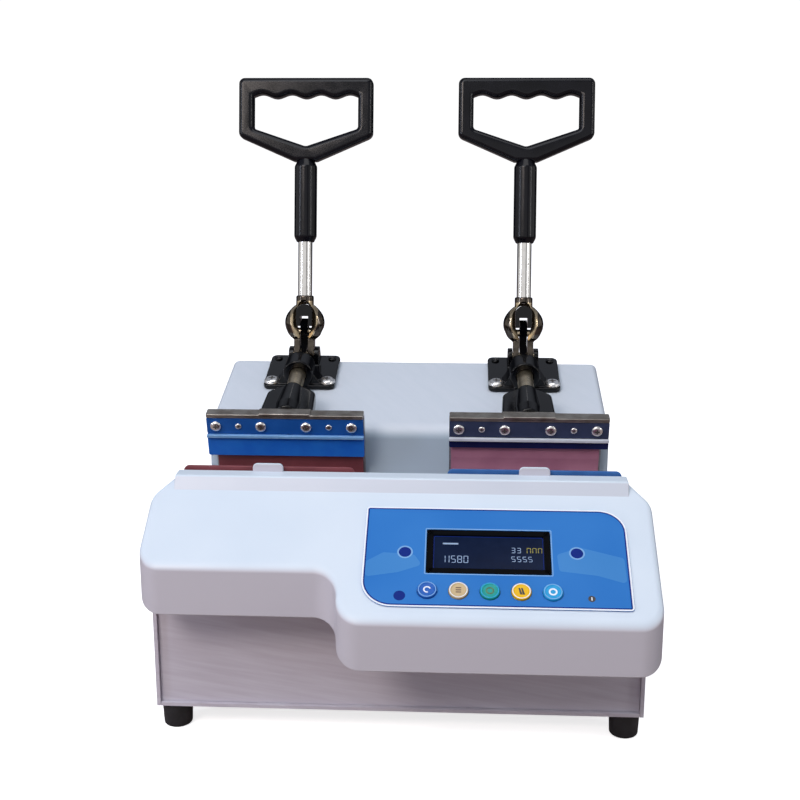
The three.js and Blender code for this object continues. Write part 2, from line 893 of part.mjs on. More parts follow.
// Black filler in the yoke's opening, with two legs that the link's block passes between
function yokeCore() {
  const { coreDepth, coreLow, legLow, legClear, bulbHalf } = yoke;
  const passage = link.thick / 2 + legClear;
  return cut(
    solid(front(teardropOutline(fit.gap), -coreDepth, coreDepth)),
    block(-bulbHalf, bulbHalf, -bulbHalf, bulbHalf, 0, legLow),
    block(-passage, passage, -bulbHalf, bulbHalf, 0, coreLow),
  );
}

function gripBody() {
  const half = grip.width / 2;
  const inner = half - grip.barSide;
  const throat = grip.sleeveRadius;
  const outline = roundedPolygon([
    [-throat, grip.throatZ, 0],
    [throat, grip.throatZ, 0],
    [half, grip.shoulderZ, grip.corner],
    [half, grip.top, grip.corner],
    [-half, grip.top, grip.corner],
    [-half, grip.shoulderZ, grip.corner],
  ]);
  const hole = new THREE.Path();
  hole.moveTo(0, grip.innerVeeZ);
  hole.lineTo(-inner, grip.innerSideZ);
  const steps = 28;
  for (let k = 0; k <= steps; k++) {
    const x = -inner + (2 * inner * k) / steps;
    const wave = Math.cos((2 * Math.PI * (x - grip.scallopPitch / 2)) / grip.scallopPitch);
    hole.lineTo(x, grip.innerTop + grip.scallopDepth * wave);
  }
  hole.lineTo(inner, grip.innerSideZ);
  hole.closePath();
  outline.holes.push(hole);
  const sleeve = turned([
    [0, grip.sleeveBottom],
    [grip.sleeveRadius - grip.sleeveRound, grip.sleeveBottom],
    [grip.sleeveRadius - grip.sleeveRound / 4, grip.sleeveBottom + grip.sleeveRound / 2],
    [grip.sleeveRadius, grip.sleeveBottom + grip.sleeveRound * 2],
    [grip.sleeveRadius - grip.sleeveRound / 4, grip.throatZ],
    [grip.sleeveRadius - grip.sleeveRound, grip.sleeveTop],
    [0, grip.sleeveTop],
  ]);
  const ring = front(outline, -grip.thick / 2, grip.thick / 2, grip.bevel, grip.bevel, 2);
  return cut(
    join(ring, sleeve),
    roundBar("z", rod.radius + fit.gap, grip.sleeveBottom - fit.overrun, rod.top + fit.gap),
  );
}

// Slotted link that the crank pin drives, with its tongue in the plunger's rear end
function linkBody() {
  const half = link.thick / 2;
  const middle = -pivot.back + crank.radius * Math.sin(crank.rest);
  const barTop = link.barBottom + link.barHeight;
  const slot = pivot.radius + crank.slotClear;
  const outline = polygon([
    [middle + link.block / 2, link.barBottom],
    [middle + link.block / 2, link.top],
    [middle - link.block / 2, link.top],
    [middle - link.block / 2, barTop],
    [-plunger.rear - link.tongue + fit.gap, barTop],
    [-plunger.rear - link.tongue + fit.gap, link.barBottom],
  ]);
  return cut(
    solid(side(outline, -half, half)),
    block(-link.thick, link.thick, middle - slot, middle + slot, link.slotBottom, link.slotTop),
  );
}

function plungerBody() {
  const bar = roundBar("y", plunger.radius, -plunger.rear - plunger.length, -plunger.rear);
  const half = link.thick / 2 + fit.gap;
  return cut(
    solid(bar.translate(0, 0, bracket.axisHeight)),
    block(
      -half,
      half,
      -plunger.rear - link.tongue,
      -plunger.rear + fit.overrun,
      link.barBottom - fit.gap,
      bracket.axisHeight + plunger.radius + fit.overrun,
    ),
  );
}

function topPlateBody() {
  const half = strip.width / 2;
  const { padHalf } = topPlate;
  const top = topPlate.bottom + topPlate.thick;
  return join(
    block(-half, half, -topPlate.front, -topPlate.rear, topPlate.bottom, top),
    block(-padHalf, padHalf, -topPlate.front, -topPlate.rear, topPlate.bottom, top + topPlate.pad),
  );
}

// The mug's axis in the frame of the slope, when the jaws are closed
function jawCentre() {
  const centre = new THREE.Vector3(0, jaw.axisY, jaw.axisZ).applyMatrix4(slopeMatrix.clone().invert());
  return { y: centre.y, z: centre.z };
}

const rearCentre = { y: jawCentre().y + stroke, z: jawCentre().z };

// One layer of the rear jaw: an arc about the mug, with an upright flange behind the clamping strips
function rearLayer(r0, r1, halfWidth, sign) {
  const { rearTopAngle, rearBottomAngle, arcSteps } = jaw;
  const arc = arcBand(rearCentre.y, rearCentre.z, r0, r1, rearBottomAngle, rearTopAngle, arcSteps);
  const flangeFront = rearCentre.y + r0 * Math.cos(rearTopAngle);
  const flangeBack = flangeFront + (r1 - r0);
  const flangeBottom = rearCentre.z + r0 * Math.sin(rearTopAngle);
  const outer = halfWidth - jaw.outboardShort;
  const [low, high] = sign < 0 ? [-outer, halfWidth] : [-halfWidth, outer];
  return join(
    side(arc, low, high),
    block(low, high, flangeFront, flangeBack, flangeBottom - fit.gap, strip.screwTop),
  );
}

function frontLayer(r0, r1, halfWidth, topAngle) {
  const { axisY, axisZ, frontBottomAngle, arcSteps } = jaw;
  const arc = arcBand(axisY, axisZ, r0, r1, Math.PI - topAngle, Math.PI - frontBottomAngle, arcSteps);
  return side(arc, -halfWidth, halfWidth);
}

const matOuter = jaw.mugRadius + jaw.mat;
const shellInner = matOuter + fit.gap;
const shellOuter = shellInner + jaw.shell;

// Block between the plunger and the rear jaw, whose front rests on the flange of the jaw's shell
function shoeBody() {
  const flangeBack = rearCentre.y + shellInner * Math.cos(jaw.rearTopAngle) + jaw.shell;
  const frontY = flangeBack + fit.gap;
  const length = -shoe.rear - frontY;
  const boss = turned([
    [0, 0],
    [shoe.noseRadius, 0],
    [shoe.frontRadius, shoe.noseLength],
    [shoe.rearRadius, length],
    [0, length],
  ]);
  boss.rotateX(-Math.PI / 2).translate(0, frontY, bracket.axisHeight);
  const wings = roundedPolygon([
    [-shoe.halfWidth, frontY, shoe.corner],
    [shoe.halfWidth, frontY, shoe.corner],
    [shoe.rearHalf, frontY + shoe.shoulder, shoe.rearRadius],
    [shoe.rearRadius, -shoe.rear, shoe.corner],
    [-shoe.rearRadius, -shoe.rear, shoe.corner],
    [-shoe.rearHalf, frontY + shoe.shoulder, shoe.rearRadius],
  ]);
  const socketFront = -shoe.rear - shoe.socket;
  const socket = roundBar("y", plunger.radius + fit.gap, socketFront, -shoe.rear + fit.overrun);
  return cut(
    join(boss, plan(wings, shoe.wingLow, shoe.wingTop, shoe.wingRound, shoe.wingRound, 2)),
    socket.translate(0, 0, bracket.axisHeight),
  );
}

function frontShell() {
  const half = jaw.width / 2;
  const rimFront = jaw.axisY - shellOuter * Math.cos(jaw.frontTopAngle);
  const rimBottom = jaw.axisZ + shellInner * Math.sin(jaw.frontTopAngle);
  return join(
    frontLayer(shellInner, shellOuter, half, jaw.frontTopAngle),
    block(-half, half, rimFront, rimFront + jaw.shell, rimBottom, jaw.rimTop),
  );
}

function bandBody(sign) {
  const half = jaw.width / 2;
  const bottom = sign < 0 ? strip.bandBottomLeft : strip.bandBottomRight;
  const back = rearCentre.y + jaw.mugRadius * Math.cos(jaw.rearTopAngle) - fit.gap;
  const face = back - strip.thick;
  const outline = polygon([
    [back, bottom],
    [face, bottom],
    [face, strip.lipBottom],
    [face - strip.lipProud, strip.lipBottom + strip.lipSlant],
    [face - strip.lipProud, strip.lipTop],
    [back, strip.lipTop],
  ]);
  return side(outline, -half, half);
}

function screwStripBody() {
  const half = strip.width / 2;
  const back = rearCentre.y + jaw.mugRadius * Math.cos(jaw.rearTopAngle) - fit.gap;
  return block(-half, half, back - strip.thick, back, strip.screwBottom, strip.screwTop);
}

function addStation(label, sign) {
  const name = (piece) => `${piece}_${label}`;
  const slope = new THREE.Group();
  slope.applyMatrix4(slopeMatrix);
  slope.position.x = sign * stationX;
  machine.add(slope);

  add(slope, name("toggle_bracket"), bracketBody(), paint.black);
  add(slope, name("plunger"), plungerBody(), paint.steel);
  add(slope, name("slotted_link"), linkBody(), paint.black);
  add(slope, name("press_shoe"), shoeBody(), paint.black);
  add(slope, name("jaw_top_plate"), topPlateBody(), paint.steel);
  add(slope, name("screw_strip"), screwStripBody(), sign < 0 ? paint.blue : paint.navy);
  add(slope, name("clamp_band"), bandBody(sign), sign < 0 ? paint.blue : paint.navy);
  add(slope, name("rear_jaw_shell"), rearLayer(shellInner, shellOuter, jaw.width / 2, sign), paint.steel);
  const rearMat = rearLayer(jaw.mugRadius, matOuter, jaw.width / 2 - jaw.matInset, sign);
  add(slope, name("rear_heat_mat"), rearMat, paint.silicone);

  const pinHalf = bracket.earHalf - fit.gap;
  const pivotPin = roundBar("x", pivot.radius, -pinHalf, pinHalf).translate(0, -pivot.back, pivot.height);
  add(slope, name("pivot_pin"), pivotPin, paint.steel);

  const handle = new THREE.Group();
  handle.position.set(0, -pivot.back, pivot.height);
  handle.rotation.x = -lean;
  slope.add(handle);
  add(handle, name("handle_yoke"), yokeBody(), paint.chrome);
  add(handle, name("yoke_core"), yokeCore(), paint.blackPlastic);
  add(handle, name("crank_pin"), crankPin(pivot.radius, yoke.halfWidth), paint.steel);
  const rodBottom = yoke.collarTop - yoke.boreDepth + fit.gap;
  add(handle, name("handle_rod"), roundBar("z", rod.radius, rodBottom, rod.top), paint.chrome);
  add(handle, name("hand_grip"), gripBody(), paint.blackPlastic);

  const fixed = new THREE.Group();
  fixed.position.x = sign * stationX;
  machine.add(fixed);
  add(fixed, name("front_jaw_shell"), frontShell(), sign < 0 ? paint.silicone : paint.navy);
  const matAngle = jaw.frontTopAngle - jaw.matDrop;
  const matHalf = jaw.width / 2 - jaw.matInset;
  add(fixed, name("front_heat_mat"), frontLayer(jaw.mugRadius, matOuter, matHalf, matAngle), paint.silicone);
}

// Rail on the deck whose ribs hold both front jaws
function addCradle() {
  const base = cabinet.deckHeight + fit.gap;
  const rib = polygon([
    [cradle.front, base],
    [cradle.ribRear, base],
    [cradle.ribRear, cradle.ribTop],
    [cradle.front, cradle.ribTop],
  ]);
  const half = cradle.halfWidth;
  let body = solid(block(-half, half, cradle.front, cradle.rear, base, base + cradle.thick));
  for (const sign of [-1, 1]) {
    for (const offset of [-cradle.ribX, cradle.ribX]) {
      const x = sign * stationX + offset;
      body = body.add(solid(side(rib, x - cradle.ribThick / 2, x + cradle.ribThick / 2)));
    }
  }
  const seat = roundBar("x", shellOuter + fit.gap, -half - stationX, half + stationX, 64);
  add(machine, "jaw_cradle", cut(body, seat.translate(0, jaw.axisY, jaw.axisZ)), paint.inner);
}

// Rear panel with the mains inlet and the power switch, and the parts inside the cabinet
function rearOpening(size, clearance) {
  const halfW = size.bodyW / 2 + clearance;
  const halfH = size.bodyH / 2 + clearance;
  const y = cabinetRear - rearPanel.rearInset;
  return block(
    size.x - halfW,
    size.x + halfW,
    y - rearPanel.thick - fit.overrun,
    y + fit.overrun,
    size.z - halfH,
    size.z + halfH,
  );
}

function flangedBox(size) {
  const face = cabinetRear - rearPanel.rearInset + fit.gap;
  const flange = roundedRect(
    size.x - size.flangeW / 2,
    size.x + size.flangeW / 2,
    size.z - size.flangeH / 2,
    size.z + size.flangeH / 2,
    size.flange,
  );
  return join(
    front(flange, face, face + size.flange),
    block(
      size.x - size.bodyW / 2,
      size.x + size.bodyW / 2,
      face - size.body,
      face + size.flange / 2,
      size.z - size.bodyH / 2,
      size.z + size.bodyH / 2,
    ),
  );
}

function mouth(size, depth) {
  const face = cabinetRear - rearPanel.rearInset + fit.gap + size.flange;
  return block(
    size.x - size.mouthW / 2,
    size.x + size.mouthW / 2,
    face - depth,
    face + fit.overrun,
    size.z - size.mouthH / 2,
    size.z + size.mouthH / 2,
  );
}

function addRear() {
  const half = cabinet.width / 2 - cabinet.wall - fit.gap;
  const y = cabinetRear - rearPanel.rearInset;
  const low = foot.height + cabinet.wall + fit.gap;
  const high = cabinet.deckHeight - cabinet.wall - fit.gap;
  const panel = cut(
    solid(block(-half, half, y - rearPanel.thick, y, low, high)),
    rearOpening(inlet, fit.gap),
    rearOpening(rocker, fit.gap),
  );
  add(machine, "rear_panel", panel, paint.cabinet);

  let socket = cut(flangedBox(inlet), mouth(inlet, inlet.mouth));
  const face = y + fit.gap + inlet.flange;
  for (const k of [-1, 0, 1]) {
    const x = inlet.x + k * inlet.pinPitch;
    const z = inlet.z + (k ? -inlet.pinLift : inlet.pinLift);
    const blade = block(
      x - inlet.pinW / 2,
      x + inlet.pinW / 2,
      face - inlet.mouth - inlet.flange / 2,
      face - inlet.flange,
      z - inlet.pinH / 2,
      z + inlet.pinH / 2,
    );
    socket = socket.add(solid(blade));
  }
  add(machine, "mains_inlet", socket, paint.blackPlastic);

  const holder = cut(flangedBox(rocker), mouth(rocker, rocker.body));
  const pivotY = y + fit.gap + rocker.flange - rocker.pivotIn;
  const pinHole = roundBar("x", rocker.pinRadius + fit.gap, -rocker.bodyW / 2, rocker.bodyW / 2, 12);
  const seated = cut(holder, pinHole.translate(rocker.x, pivotY, rocker.z));
  add(machine, "switch_housing", seated, paint.blackPlastic);

  const key = new THREE.Group();
  key.position.set(rocker.x, pivotY, rocker.z);
  key.rotation.x = rocker.tilt;
  machine.add(key);
  const outline = polygon([
    [-rocker.root, -rocker.half + rocker.dish],
    [rocker.proud, -rocker.half],
    [rocker.proud - rocker.dish, 0],
    [rocker.proud, rocker.half],
    [-rocker.root, rocker.half - rocker.dish],
  ]);
  const cap = join(
    side(outline, -rocker.width / 2, rocker.width / 2),
    roundBar("x", rocker.pinRadius, -rocker.bodyW / 2 + fit.gap, rocker.bodyW / 2 - fit.gap, 12),
  );
  add(key, "power_rocker", cap, paint.blackPlastic);
}

function addInside() {
  const plateTop = foot.height + cabinet.wall;
  const low = plateTop + fit.gap;
  const supplyY = cabinetRear - supply.fromRear;
  const posts = [];
  for (const sx of [-1, 1]) {
    for (const sy of [-1, 1]) {
      const x = supply.x + sx * (supply.width / 2 - supply.standoffRadius * 2);
      const y = supplyY + sy * (supply.depth / 2 - supply.standoffRadius * 2);
      posts.push(roundBar("z", supply.standoffRadius, low, low + supply.standoff * 2, 12).translate(x, y, 0));
    }
  }
  const can = plan(
    roundedRect(
      supply.x - supply.width / 2,
      supply.x + supply.width / 2,
      supplyY - supply.depth / 2,
      supplyY + supply.depth / 2,
      supply.round,
    ),
    low + supply.standoff,
    low + supply.standoff + supply.height,
  );
  add(machine, "power_supply", join(can, ...posts), paint.inner);

  const halfW = relay.width / 2;
  const halfD = relay.depth / 2;
  const pieces = [block(-halfW, halfW, -halfD, halfD, low, low + relay.base)];
  for (let k = 0; k < relay.fins; k++) {
    const x = -halfW + (k * (relay.width - relay.fin)) / (relay.fins - 1);
    pieces.push(block(x, x + relay.fin, -halfD, halfD, low, low + relay.height));
  }
  const top = low + relay.height;
  pieces.push(block(-halfW, halfW, -halfD, halfD, top, top + relay.base));
  for (const sign of [-1, 1]) {
    const x = (sign * (relay.width - relay.blockW)) / 2;
    const half = relay.blockW / 2;
    const deep = relay.blockD / 2;
    pieces.push(block(x - half, x + half, -deep, deep, top, top + relay.base + relay.blockH));
  }
  const mesh = add(machine, "relay_block", join(...pieces), paint.inner);
  mesh.position.set(relay.x, cabinetRear - relay.fromRear, 0);
}

addCabinet();
addConsole();
addHousing();
addStation("left", -1);
addStation("right", 1);
addCradle();
addRear();
addInside();

// The origin is under the middle of the whole machine, on the bench
machine.updateMatrixWorld(true);
const extent = new THREE.Box3().setFromObject(machine, true);
const middle = extent.getCenter(new THREE.Vector3());
machine.position.set(-middle.x, -middle.y, -extent.min.z);

export default machine;
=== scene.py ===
"""Looks of a bench press for two mugs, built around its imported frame.

Sizes are millimetres in the machine's own frame: +Z up, the front faces -Y, and X = 0 is the middle.
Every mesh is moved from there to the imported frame, in metres, when its object is made.
"""

import json
import logging
import math
from dataclasses import dataclass, field
from enum import Enum

import bmesh
import bpy
from mathutils import Matrix, Vector

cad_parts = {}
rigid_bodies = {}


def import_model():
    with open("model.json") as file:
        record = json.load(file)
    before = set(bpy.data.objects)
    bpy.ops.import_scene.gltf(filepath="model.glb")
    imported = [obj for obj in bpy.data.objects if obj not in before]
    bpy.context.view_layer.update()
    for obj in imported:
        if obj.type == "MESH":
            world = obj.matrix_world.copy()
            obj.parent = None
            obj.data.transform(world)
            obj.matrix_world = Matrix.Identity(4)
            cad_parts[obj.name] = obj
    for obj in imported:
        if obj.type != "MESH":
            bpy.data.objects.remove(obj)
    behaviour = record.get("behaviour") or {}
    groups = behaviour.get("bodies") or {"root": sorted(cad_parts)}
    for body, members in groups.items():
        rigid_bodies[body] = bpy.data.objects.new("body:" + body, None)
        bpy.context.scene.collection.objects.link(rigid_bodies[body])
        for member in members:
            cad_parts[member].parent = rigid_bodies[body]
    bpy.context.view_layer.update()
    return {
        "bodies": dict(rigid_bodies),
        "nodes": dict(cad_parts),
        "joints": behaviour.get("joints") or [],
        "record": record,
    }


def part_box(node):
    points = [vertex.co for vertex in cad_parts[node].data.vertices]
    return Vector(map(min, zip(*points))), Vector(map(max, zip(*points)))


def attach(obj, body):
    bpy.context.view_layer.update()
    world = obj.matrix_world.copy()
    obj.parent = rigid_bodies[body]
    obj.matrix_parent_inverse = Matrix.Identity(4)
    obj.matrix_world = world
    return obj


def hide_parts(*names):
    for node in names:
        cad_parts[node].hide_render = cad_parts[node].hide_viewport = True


LOG = logging.getLogger("mug_press")
MM = 0.001

Corner = tuple[float, ...]
Mesh = bmesh.types.BMesh
Object = bpy.types.Object
Outline = list[Vector]
Point = tuple[float, float]
Place = tuple[float, float, float]
Socket = bpy.types.NodeSocket
Tree = bpy.types.NodeTree

# An (x, z) outline raised along -Y, and a (y, z) outline raised along X
ALONG_Y = Matrix.Rotation(math.pi / 2, 4, "X")
ALONG_X = Matrix(((0, 0, 1, 0), (1, 0, 0, 0), (0, 1, 0, 0), (0, 0, 0, 1)))
# Turned pieces laid along +Y, along -Y and along X
TURN_TO_Y = Matrix.Rotation(-math.pi / 2, 4, "X")
TURN_TO_FRONT = TURN_TO_Y.inverted()
TURN_TO_X = Matrix.Rotation(math.pi / 2, 4, "Y")
UNMOVED = Matrix.Identity(4)
# Most of the noise lies between these values
NOISE_RANGE = (0.3, 0.7)
# Z of a normal at which a face gets the full painted shade of upright faces, and none of it
UPRIGHT_SHADE_RANGE = (0.1, 0.75)


class Work(Enum):
    """What combining does with the other meshes."""

    JOIN = "UNION"
    CUT = "DIFFERENCE"


class Side(Enum):
    """The two mug stations, with the sign of their X."""

    LEFT = -1
    RIGHT = 1


@dataclass(frozen=True)
class Machine:
    """Driving sizes that several sub-assemblies share."""

    gap: float = 0.3
    foot_height: float = 18.5
    cabinet_width: float = 334.0
    cabinet_front: float = -105.0
    cabinet_rear: float = 150.0
    deck: float = 92.0
    wall: float = 2.5
    station_x: float = 91.0
    housing_top: float = 212.5
    housing_slope: float = math.radians(14.1)
    crease_y: float = -86.5
    crease_z: float = 169.5
    console_slope: float = math.radians(32)
    cut: float = 3.0  # how far a cutter runs past the face it cuts
    pin_bore: float = 3.3

    def to_frame(self) -> Matrix:
        """Matrix from the machine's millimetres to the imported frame's metres."""
        low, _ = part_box("base_cabinet")
        return Matrix.Translation((0, low.y - self.cabinet_front * MM, 0)) @ Matrix.Scale(MM, 4)

    def slope(self, side: Side) -> Matrix:
        """A station's frame on the housing's slope: -Y forward down it, Z off it."""
        top = shift(side.value * self.station_x, self.cabinet_rear, self.housing_top)
        return top @ Matrix.Rotation(self.housing_slope, 4, "X")

    def panel(self) -> Matrix:
        """The frame on the console's slope: origin at the crease, -Y down it, Z off it."""
        return shift(0, self.crease_y, self.crease_z) @ Matrix.Rotation(self.console_slope, 4, "X")

    def panel_height(self, y: float) -> float:
        """Height of the console's sloped plane at a place along Y."""
        return self.crease_z + (y - self.crease_y) * math.tan(self.console_slope)


def shift(x: float = 0.0, y: float = 0.0, z: float = 0.0) -> Matrix:
    """A move by a distance."""
    return Matrix.Translation((x, y, z))


MACHINE = Machine()


def arc_corner(before: Vector, here: Vector, after: Vector, radius: float, steps: int) -> Outline:
    """Replaces a corner by an arc that touches both its edges.

    Args:
        before: The corner before it.
        here: The corner.
        after: The corner after it.
        radius: Radius of the arc.
        steps: Segments in the arc.

    Returns:
        The arc's points.
    """
    a, b = (before - here).normalized(), (after - here).normalized()
    half = math.acos(max(-1.0, min(1.0, a.dot(b)))) / 2
    centre = here + (a + b).normalized() * (radius / math.sin(half))
    start = here + a * (radius / math.tan(half)) - centre
    end = here + b * (radius / math.tan(half)) - centre
    turn = math.atan2(start.x * end.y - start.y * end.x, start.dot(end))
    return [centre + Matrix.Rotation(turn * k / steps, 2) @ start for k in range(steps + 1)]


def softened(corners: list[Corner], steps: int, closed: bool) -> Outline:
    """Rounds the corners that have a radius.

    Args:
        corners: The corners as (u, v) or (u, v, radius).
        steps: Segments in each arc.
        closed: False for an open line, whose ends stay as they are.

    Returns:
        The rounded line.
    """
    points = [Vector(corner[:2]) for corner in corners]
    ends = () if closed else (0, len(corners) - 1)
    line: Outline = []
    for i, corner in enumerate(corners):
        if len(corner) < 3 or corner[2] <= 0 or i in ends:
            line.append(points[i])
        else:
            line += arc_corner(points[i - 1], points[i], points[(i + 1) % len(points)], corner[2], steps)
    return line


def counter_clockwise(line: Outline) -> Outline:
    """The same outline, turned round if it runs clockwise."""
    area = sum(p.x * q.y - p.y * q.x for p, q in zip(line, line[1:] + line[:1]))
    return line if area > 0 else line[::-1]


def rounded(corners: list[Corner], steps: int = 10) -> Outline:
    """A closed outline with rounded corners."""
    return counter_clockwise(softened(corners, steps, True))


def rectangle(u0: float, u1: float, v0: float, v1: float, radius: float = 0.0, steps: int = 8) -> Outline:
    """A rectangle's outline with equal corners."""
    return rounded([(u0, v0, radius), (u1, v0, radius), (u1, v1, radius), (u0, v1, radius)], steps)


def circle(radius: float, sides: int = 48, u: float = 0.0, v: float = 0.0) -> Outline:
    """A round outline about a point."""
    turns = [2 * math.pi * k / sides for k in range(sides)]
    return [Vector((u + radius * math.cos(a), v + radius * math.sin(a))) for a in turns]


def inset(outline: Outline, distance: float) -> Outline:
    """Moves an outline's edges inwards, its points staying paired with the old ones.

    Args:
        outline: The outline, counter-clockwise.
        distance: How far its edges move in, or out where it is negative.

    Returns:
        The moved outline.
    """
    line: Outline = []
    for i, here in enumerate(outline):
        first, second = here - outline[i - 1], outline[(i + 1) % len(outline)] - here
        n1 = Vector((-first.y, first.x)).normalized()
        n2 = Vector((-second.y, second.x)).normalized()
        line.append(here + (n1 + n2) * (distance / max(1e-6, 1 + n1.dot(n2))))
    return line


def lifted(outline: Outline, z: float) -> Outline:
    """An outline's points at a height."""
    return [Vector((p.x, p.y, z)) for p in outline]


def loft(rings: list[Outline], closed: bool = False) -> Mesh:
    """Joins loops of points with faces, and caps both ends.

    Args:
        rings: Loops of 3-D points, all with the same count.
        closed: True if the last loop joins the first, with no caps.

    Returns:
        The closed mesh.
    """
    bm = bmesh.new()
    loops = [[bm.verts.new(p) for p in ring] for ring in rings]
    followers = loops[1:] + loops[:1] if closed else loops[1:]
    for low, high in zip(loops, followers):
        for i in range(len(low)):
            j = (i + 1) % len(low)
            bm.faces.new((low[i], low[j], high[j], high[i]))
    if not closed:
        bm.faces.new(loops[0][::-1])
        bm.faces.new(loops[-1])
    bmesh.ops.recalc_face_normals(bm, faces=bm.faces)
    return bm


def slab(outline: Outline, low: float, high: float, bevel: float = 0.0, steps: int = 4) -> Mesh:
    """Raises an outline along Z, with both rims rounded.

    Args:
        outline: The (x, y) points.
        low: Height of the lower face.
        high: Height of the upper face.
        bevel: Radius of the rims.
        steps: Segments in each rim.

    Returns:
        The closed mesh.
    """
    if bevel <= 0:
        return loft([lifted(outline, z) for z in (low, high)])
    quarter = [math.pi / 2 * k / steps for k in range(steps + 1)]
    rows = [(bevel * (1 - math.sin(a)), low + bevel * (1 - math.cos(a))) for a in quarter]
    rows += [(bevel * (1 - math.cos(a)), high - bevel * (1 - math.sin(a))) for a in quarter]
    return loft([lifted(inset(outline, depth), z) for depth, z in rows])


def turned(profile: list[Corner] | Outline, sides: int = 64) -> Mesh:
    """Turns a profile round Z.

    Args:
        profile: Its (radius, height) points. A radius of 0 closes an end in one point.
        sides: Segments round the axis.

    Returns:
        The closed mesh.
    """
    bm = bmesh.new()
    turns = [2 * math.pi * k / sides for k in range(sides)]
    loops = [
        [bm.verts.new((radius * math.cos(a), radius * math.sin(a), height)) for a in turns]
        if radius > 0 else [bm.verts.new((0, 0, height))]
        for radius, height in profile
    ]
    for low, high in zip(loops, loops[1:]):
        for i in range(sides):
            j = (i + 1) % sides
            ring = [low[i % len(low)], low[j % len(low)], high[j % len(high)], high[i % len(high)]]
            corners = list(dict.fromkeys(ring))
            if len(corners) > 2:
                bm.faces.new(corners)
    bmesh.ops.recalc_face_normals(bm, faces=bm.faces)
    return bm


def lathe(corners: list[Corner], sides: int = 64, steps: int = 4) -> Mesh:
    """Turns a profile with rounded corners, whose two ends lie on the axis, round Z."""
    return turned(softened(corners, steps, False), sides)


def rod(radius: float, low: float, high: float, sides: int = 64) -> Mesh:
    """A plain round bar along Z."""
    return turned([(0, low), (radius, low), (radius, high), (0, high)], sides)


def box(low: Place, high: Place, bevel: float = 0.0) -> Mesh:
    """A box between two corners, all its edges rounded.

    Args:
        low: Its corner with the least coordinates.
        high: The corner opposite.
        bevel: Radius of the edges.

    Returns:
        The closed mesh.
    """
    bm = bmesh.new()
    bmesh.ops.create_cube(bm, size=1.0)
    size = [b - a for a, b in zip(low, high)]
    middle = [(a + b) / 2 for a, b in zip(low, high)]
    bm.transform(Matrix.Translation(middle) @ Matrix.Diagonal((*size, 1)))
    if bevel > 0:
        bmesh.ops.bevel(
            bm, geom=bm.edges[:], offset=bevel, segments=3, profile=0.5, affect="EDGES", clamp_overlap=True
        )
    return bm


def moved(bm: Mesh, *steps: Matrix) -> Mesh:
    """Applies matrices to a mesh, the last one first.

    Args:
        bm: The mesh.
        steps: The matrices.

    Returns:
        The same mesh.
    """
    for step in reversed(steps):
        bm.transform(step)
    return bm


def merged(parts: list[Mesh]) -> Mesh:
    """Puts meshes together as they are, and frees them.

    Args:
        parts: The meshes.

    Returns:
        One mesh of them all.
    """
    bm = bmesh.new()
    for part in parts:
        mesh = bpy.data.meshes.new("part")
        part.to_mesh(mesh)
        part.free()
        bm.from_mesh(mesh)
        bpy.data.meshes.remove(mesh)
    return bm


def scratch(bm: Mesh, name: str = "work") -> Object:
    """Puts a mesh in an object, still in its own millimetres.

    Args:
        bm: The mesh, freed afterwards.
        name: The object's name.

    Returns:
        The object.
    """
    mesh = bpy.data.meshes.new(name)
    bm.to_mesh(mesh)
    bm.free()
    made = bpy.data.objects.new(name, mesh)
    bpy.context.scene.collection.objects.link(made)
    return made


def settle(piece: Object) -> Object:
    """Applies an object's modifiers to its mesh.

    Args:
        piece: The object.

    Returns:
        The same object.
    """
    graph = bpy.context.evaluated_depsgraph_get()
    mesh = bpy.data.meshes.new_from_object(piece.evaluated_get(graph))
    old = piece.data
    piece.modifiers.clear()
    piece.data = mesh
    bpy.data.meshes.remove(old)
    return piece


def combine(body: Object, work: Work, *others: Mesh) -> Object:
    """Joins meshes to a body, or cuts them out of it.

    Args:
        body: The object that is changed.
        work: What is done with the others.
        others: Closed meshes in the body's millimetres.

    Returns:
        The body.
    """
    for other in others:
        tool = scratch(other, "tool")
        modifier = body.modifiers.new("combine", "BOOLEAN")
        modifier.operation = work.value
        modifier.solver = "EXACT"
        modifier.object = tool
        settle(body)
        spent = tool.data
        bpy.data.objects.remove(tool)
        bpy.data.meshes.remove(spent)
    return body


def cast(meshes: list[Mesh], voxel: float, smoothing: int) -> Object:
    """Melts closed meshes into one body with soft inner corners, as a casting has.

    Args:
        meshes: The closed meshes, in millimetres.
        voxel: Size of the cells that the new surface is made of.
        smoothing: How often the surface is evened out.

    Returns:
        The new object.
    """
    body = scratch(merged(meshes), "cast")
    remesh = body.modifiers.new("remesh", "REMESH")
    remesh.mode = "VOXEL"
    remesh.voxel_size = voxel
    even = body.modifiers.new("even", "SMOOTH")
    even.factor = 0.5
    even.iterations = smoothing
    return settle(body)


def linear(colour: str) -> tuple[float, float, float, float]:
    """Turns an sRGB hex colour into the linear RGBA that shaders take."""
    parts = [int(colour[i : i + 2], 16) / 255 for i in (1, 3, 5)]
    return (*[c / 12.92 if c <= 0.04045 else ((c + 0.055) / 1.055) ** 2.4 for c in parts], 1.0)


def add_node(tree: Tree, kind: str, inputs: dict | None = None, **settings) -> bpy.types.Node:
    """Adds one shader node.

    Args:
        tree: The material's node tree.
        kind: The node's type.
        inputs: Values or linked outputs, by the input's name or number.
        settings: Other attributes of the node.

    Returns:
        The node.
    """
    node = tree.nodes.new(kind)
    for key, value in settings.items():
        setattr(node, key, value)
    for key, value in (inputs or {}).items():
        if isinstance(value, Socket):
            tree.links.new(value, node.inputs[key])
        else:
            node.inputs[key].default_value = value
    return node


def calc(tree: Tree, operation: str, first: Socket | float, second: Socket | float = 0.0) -> Socket:
    """One step of arithmetic."""
    return add_node(tree, "ShaderNodeMath", {0: first, 1: second}, operation=operation).outputs["Value"]


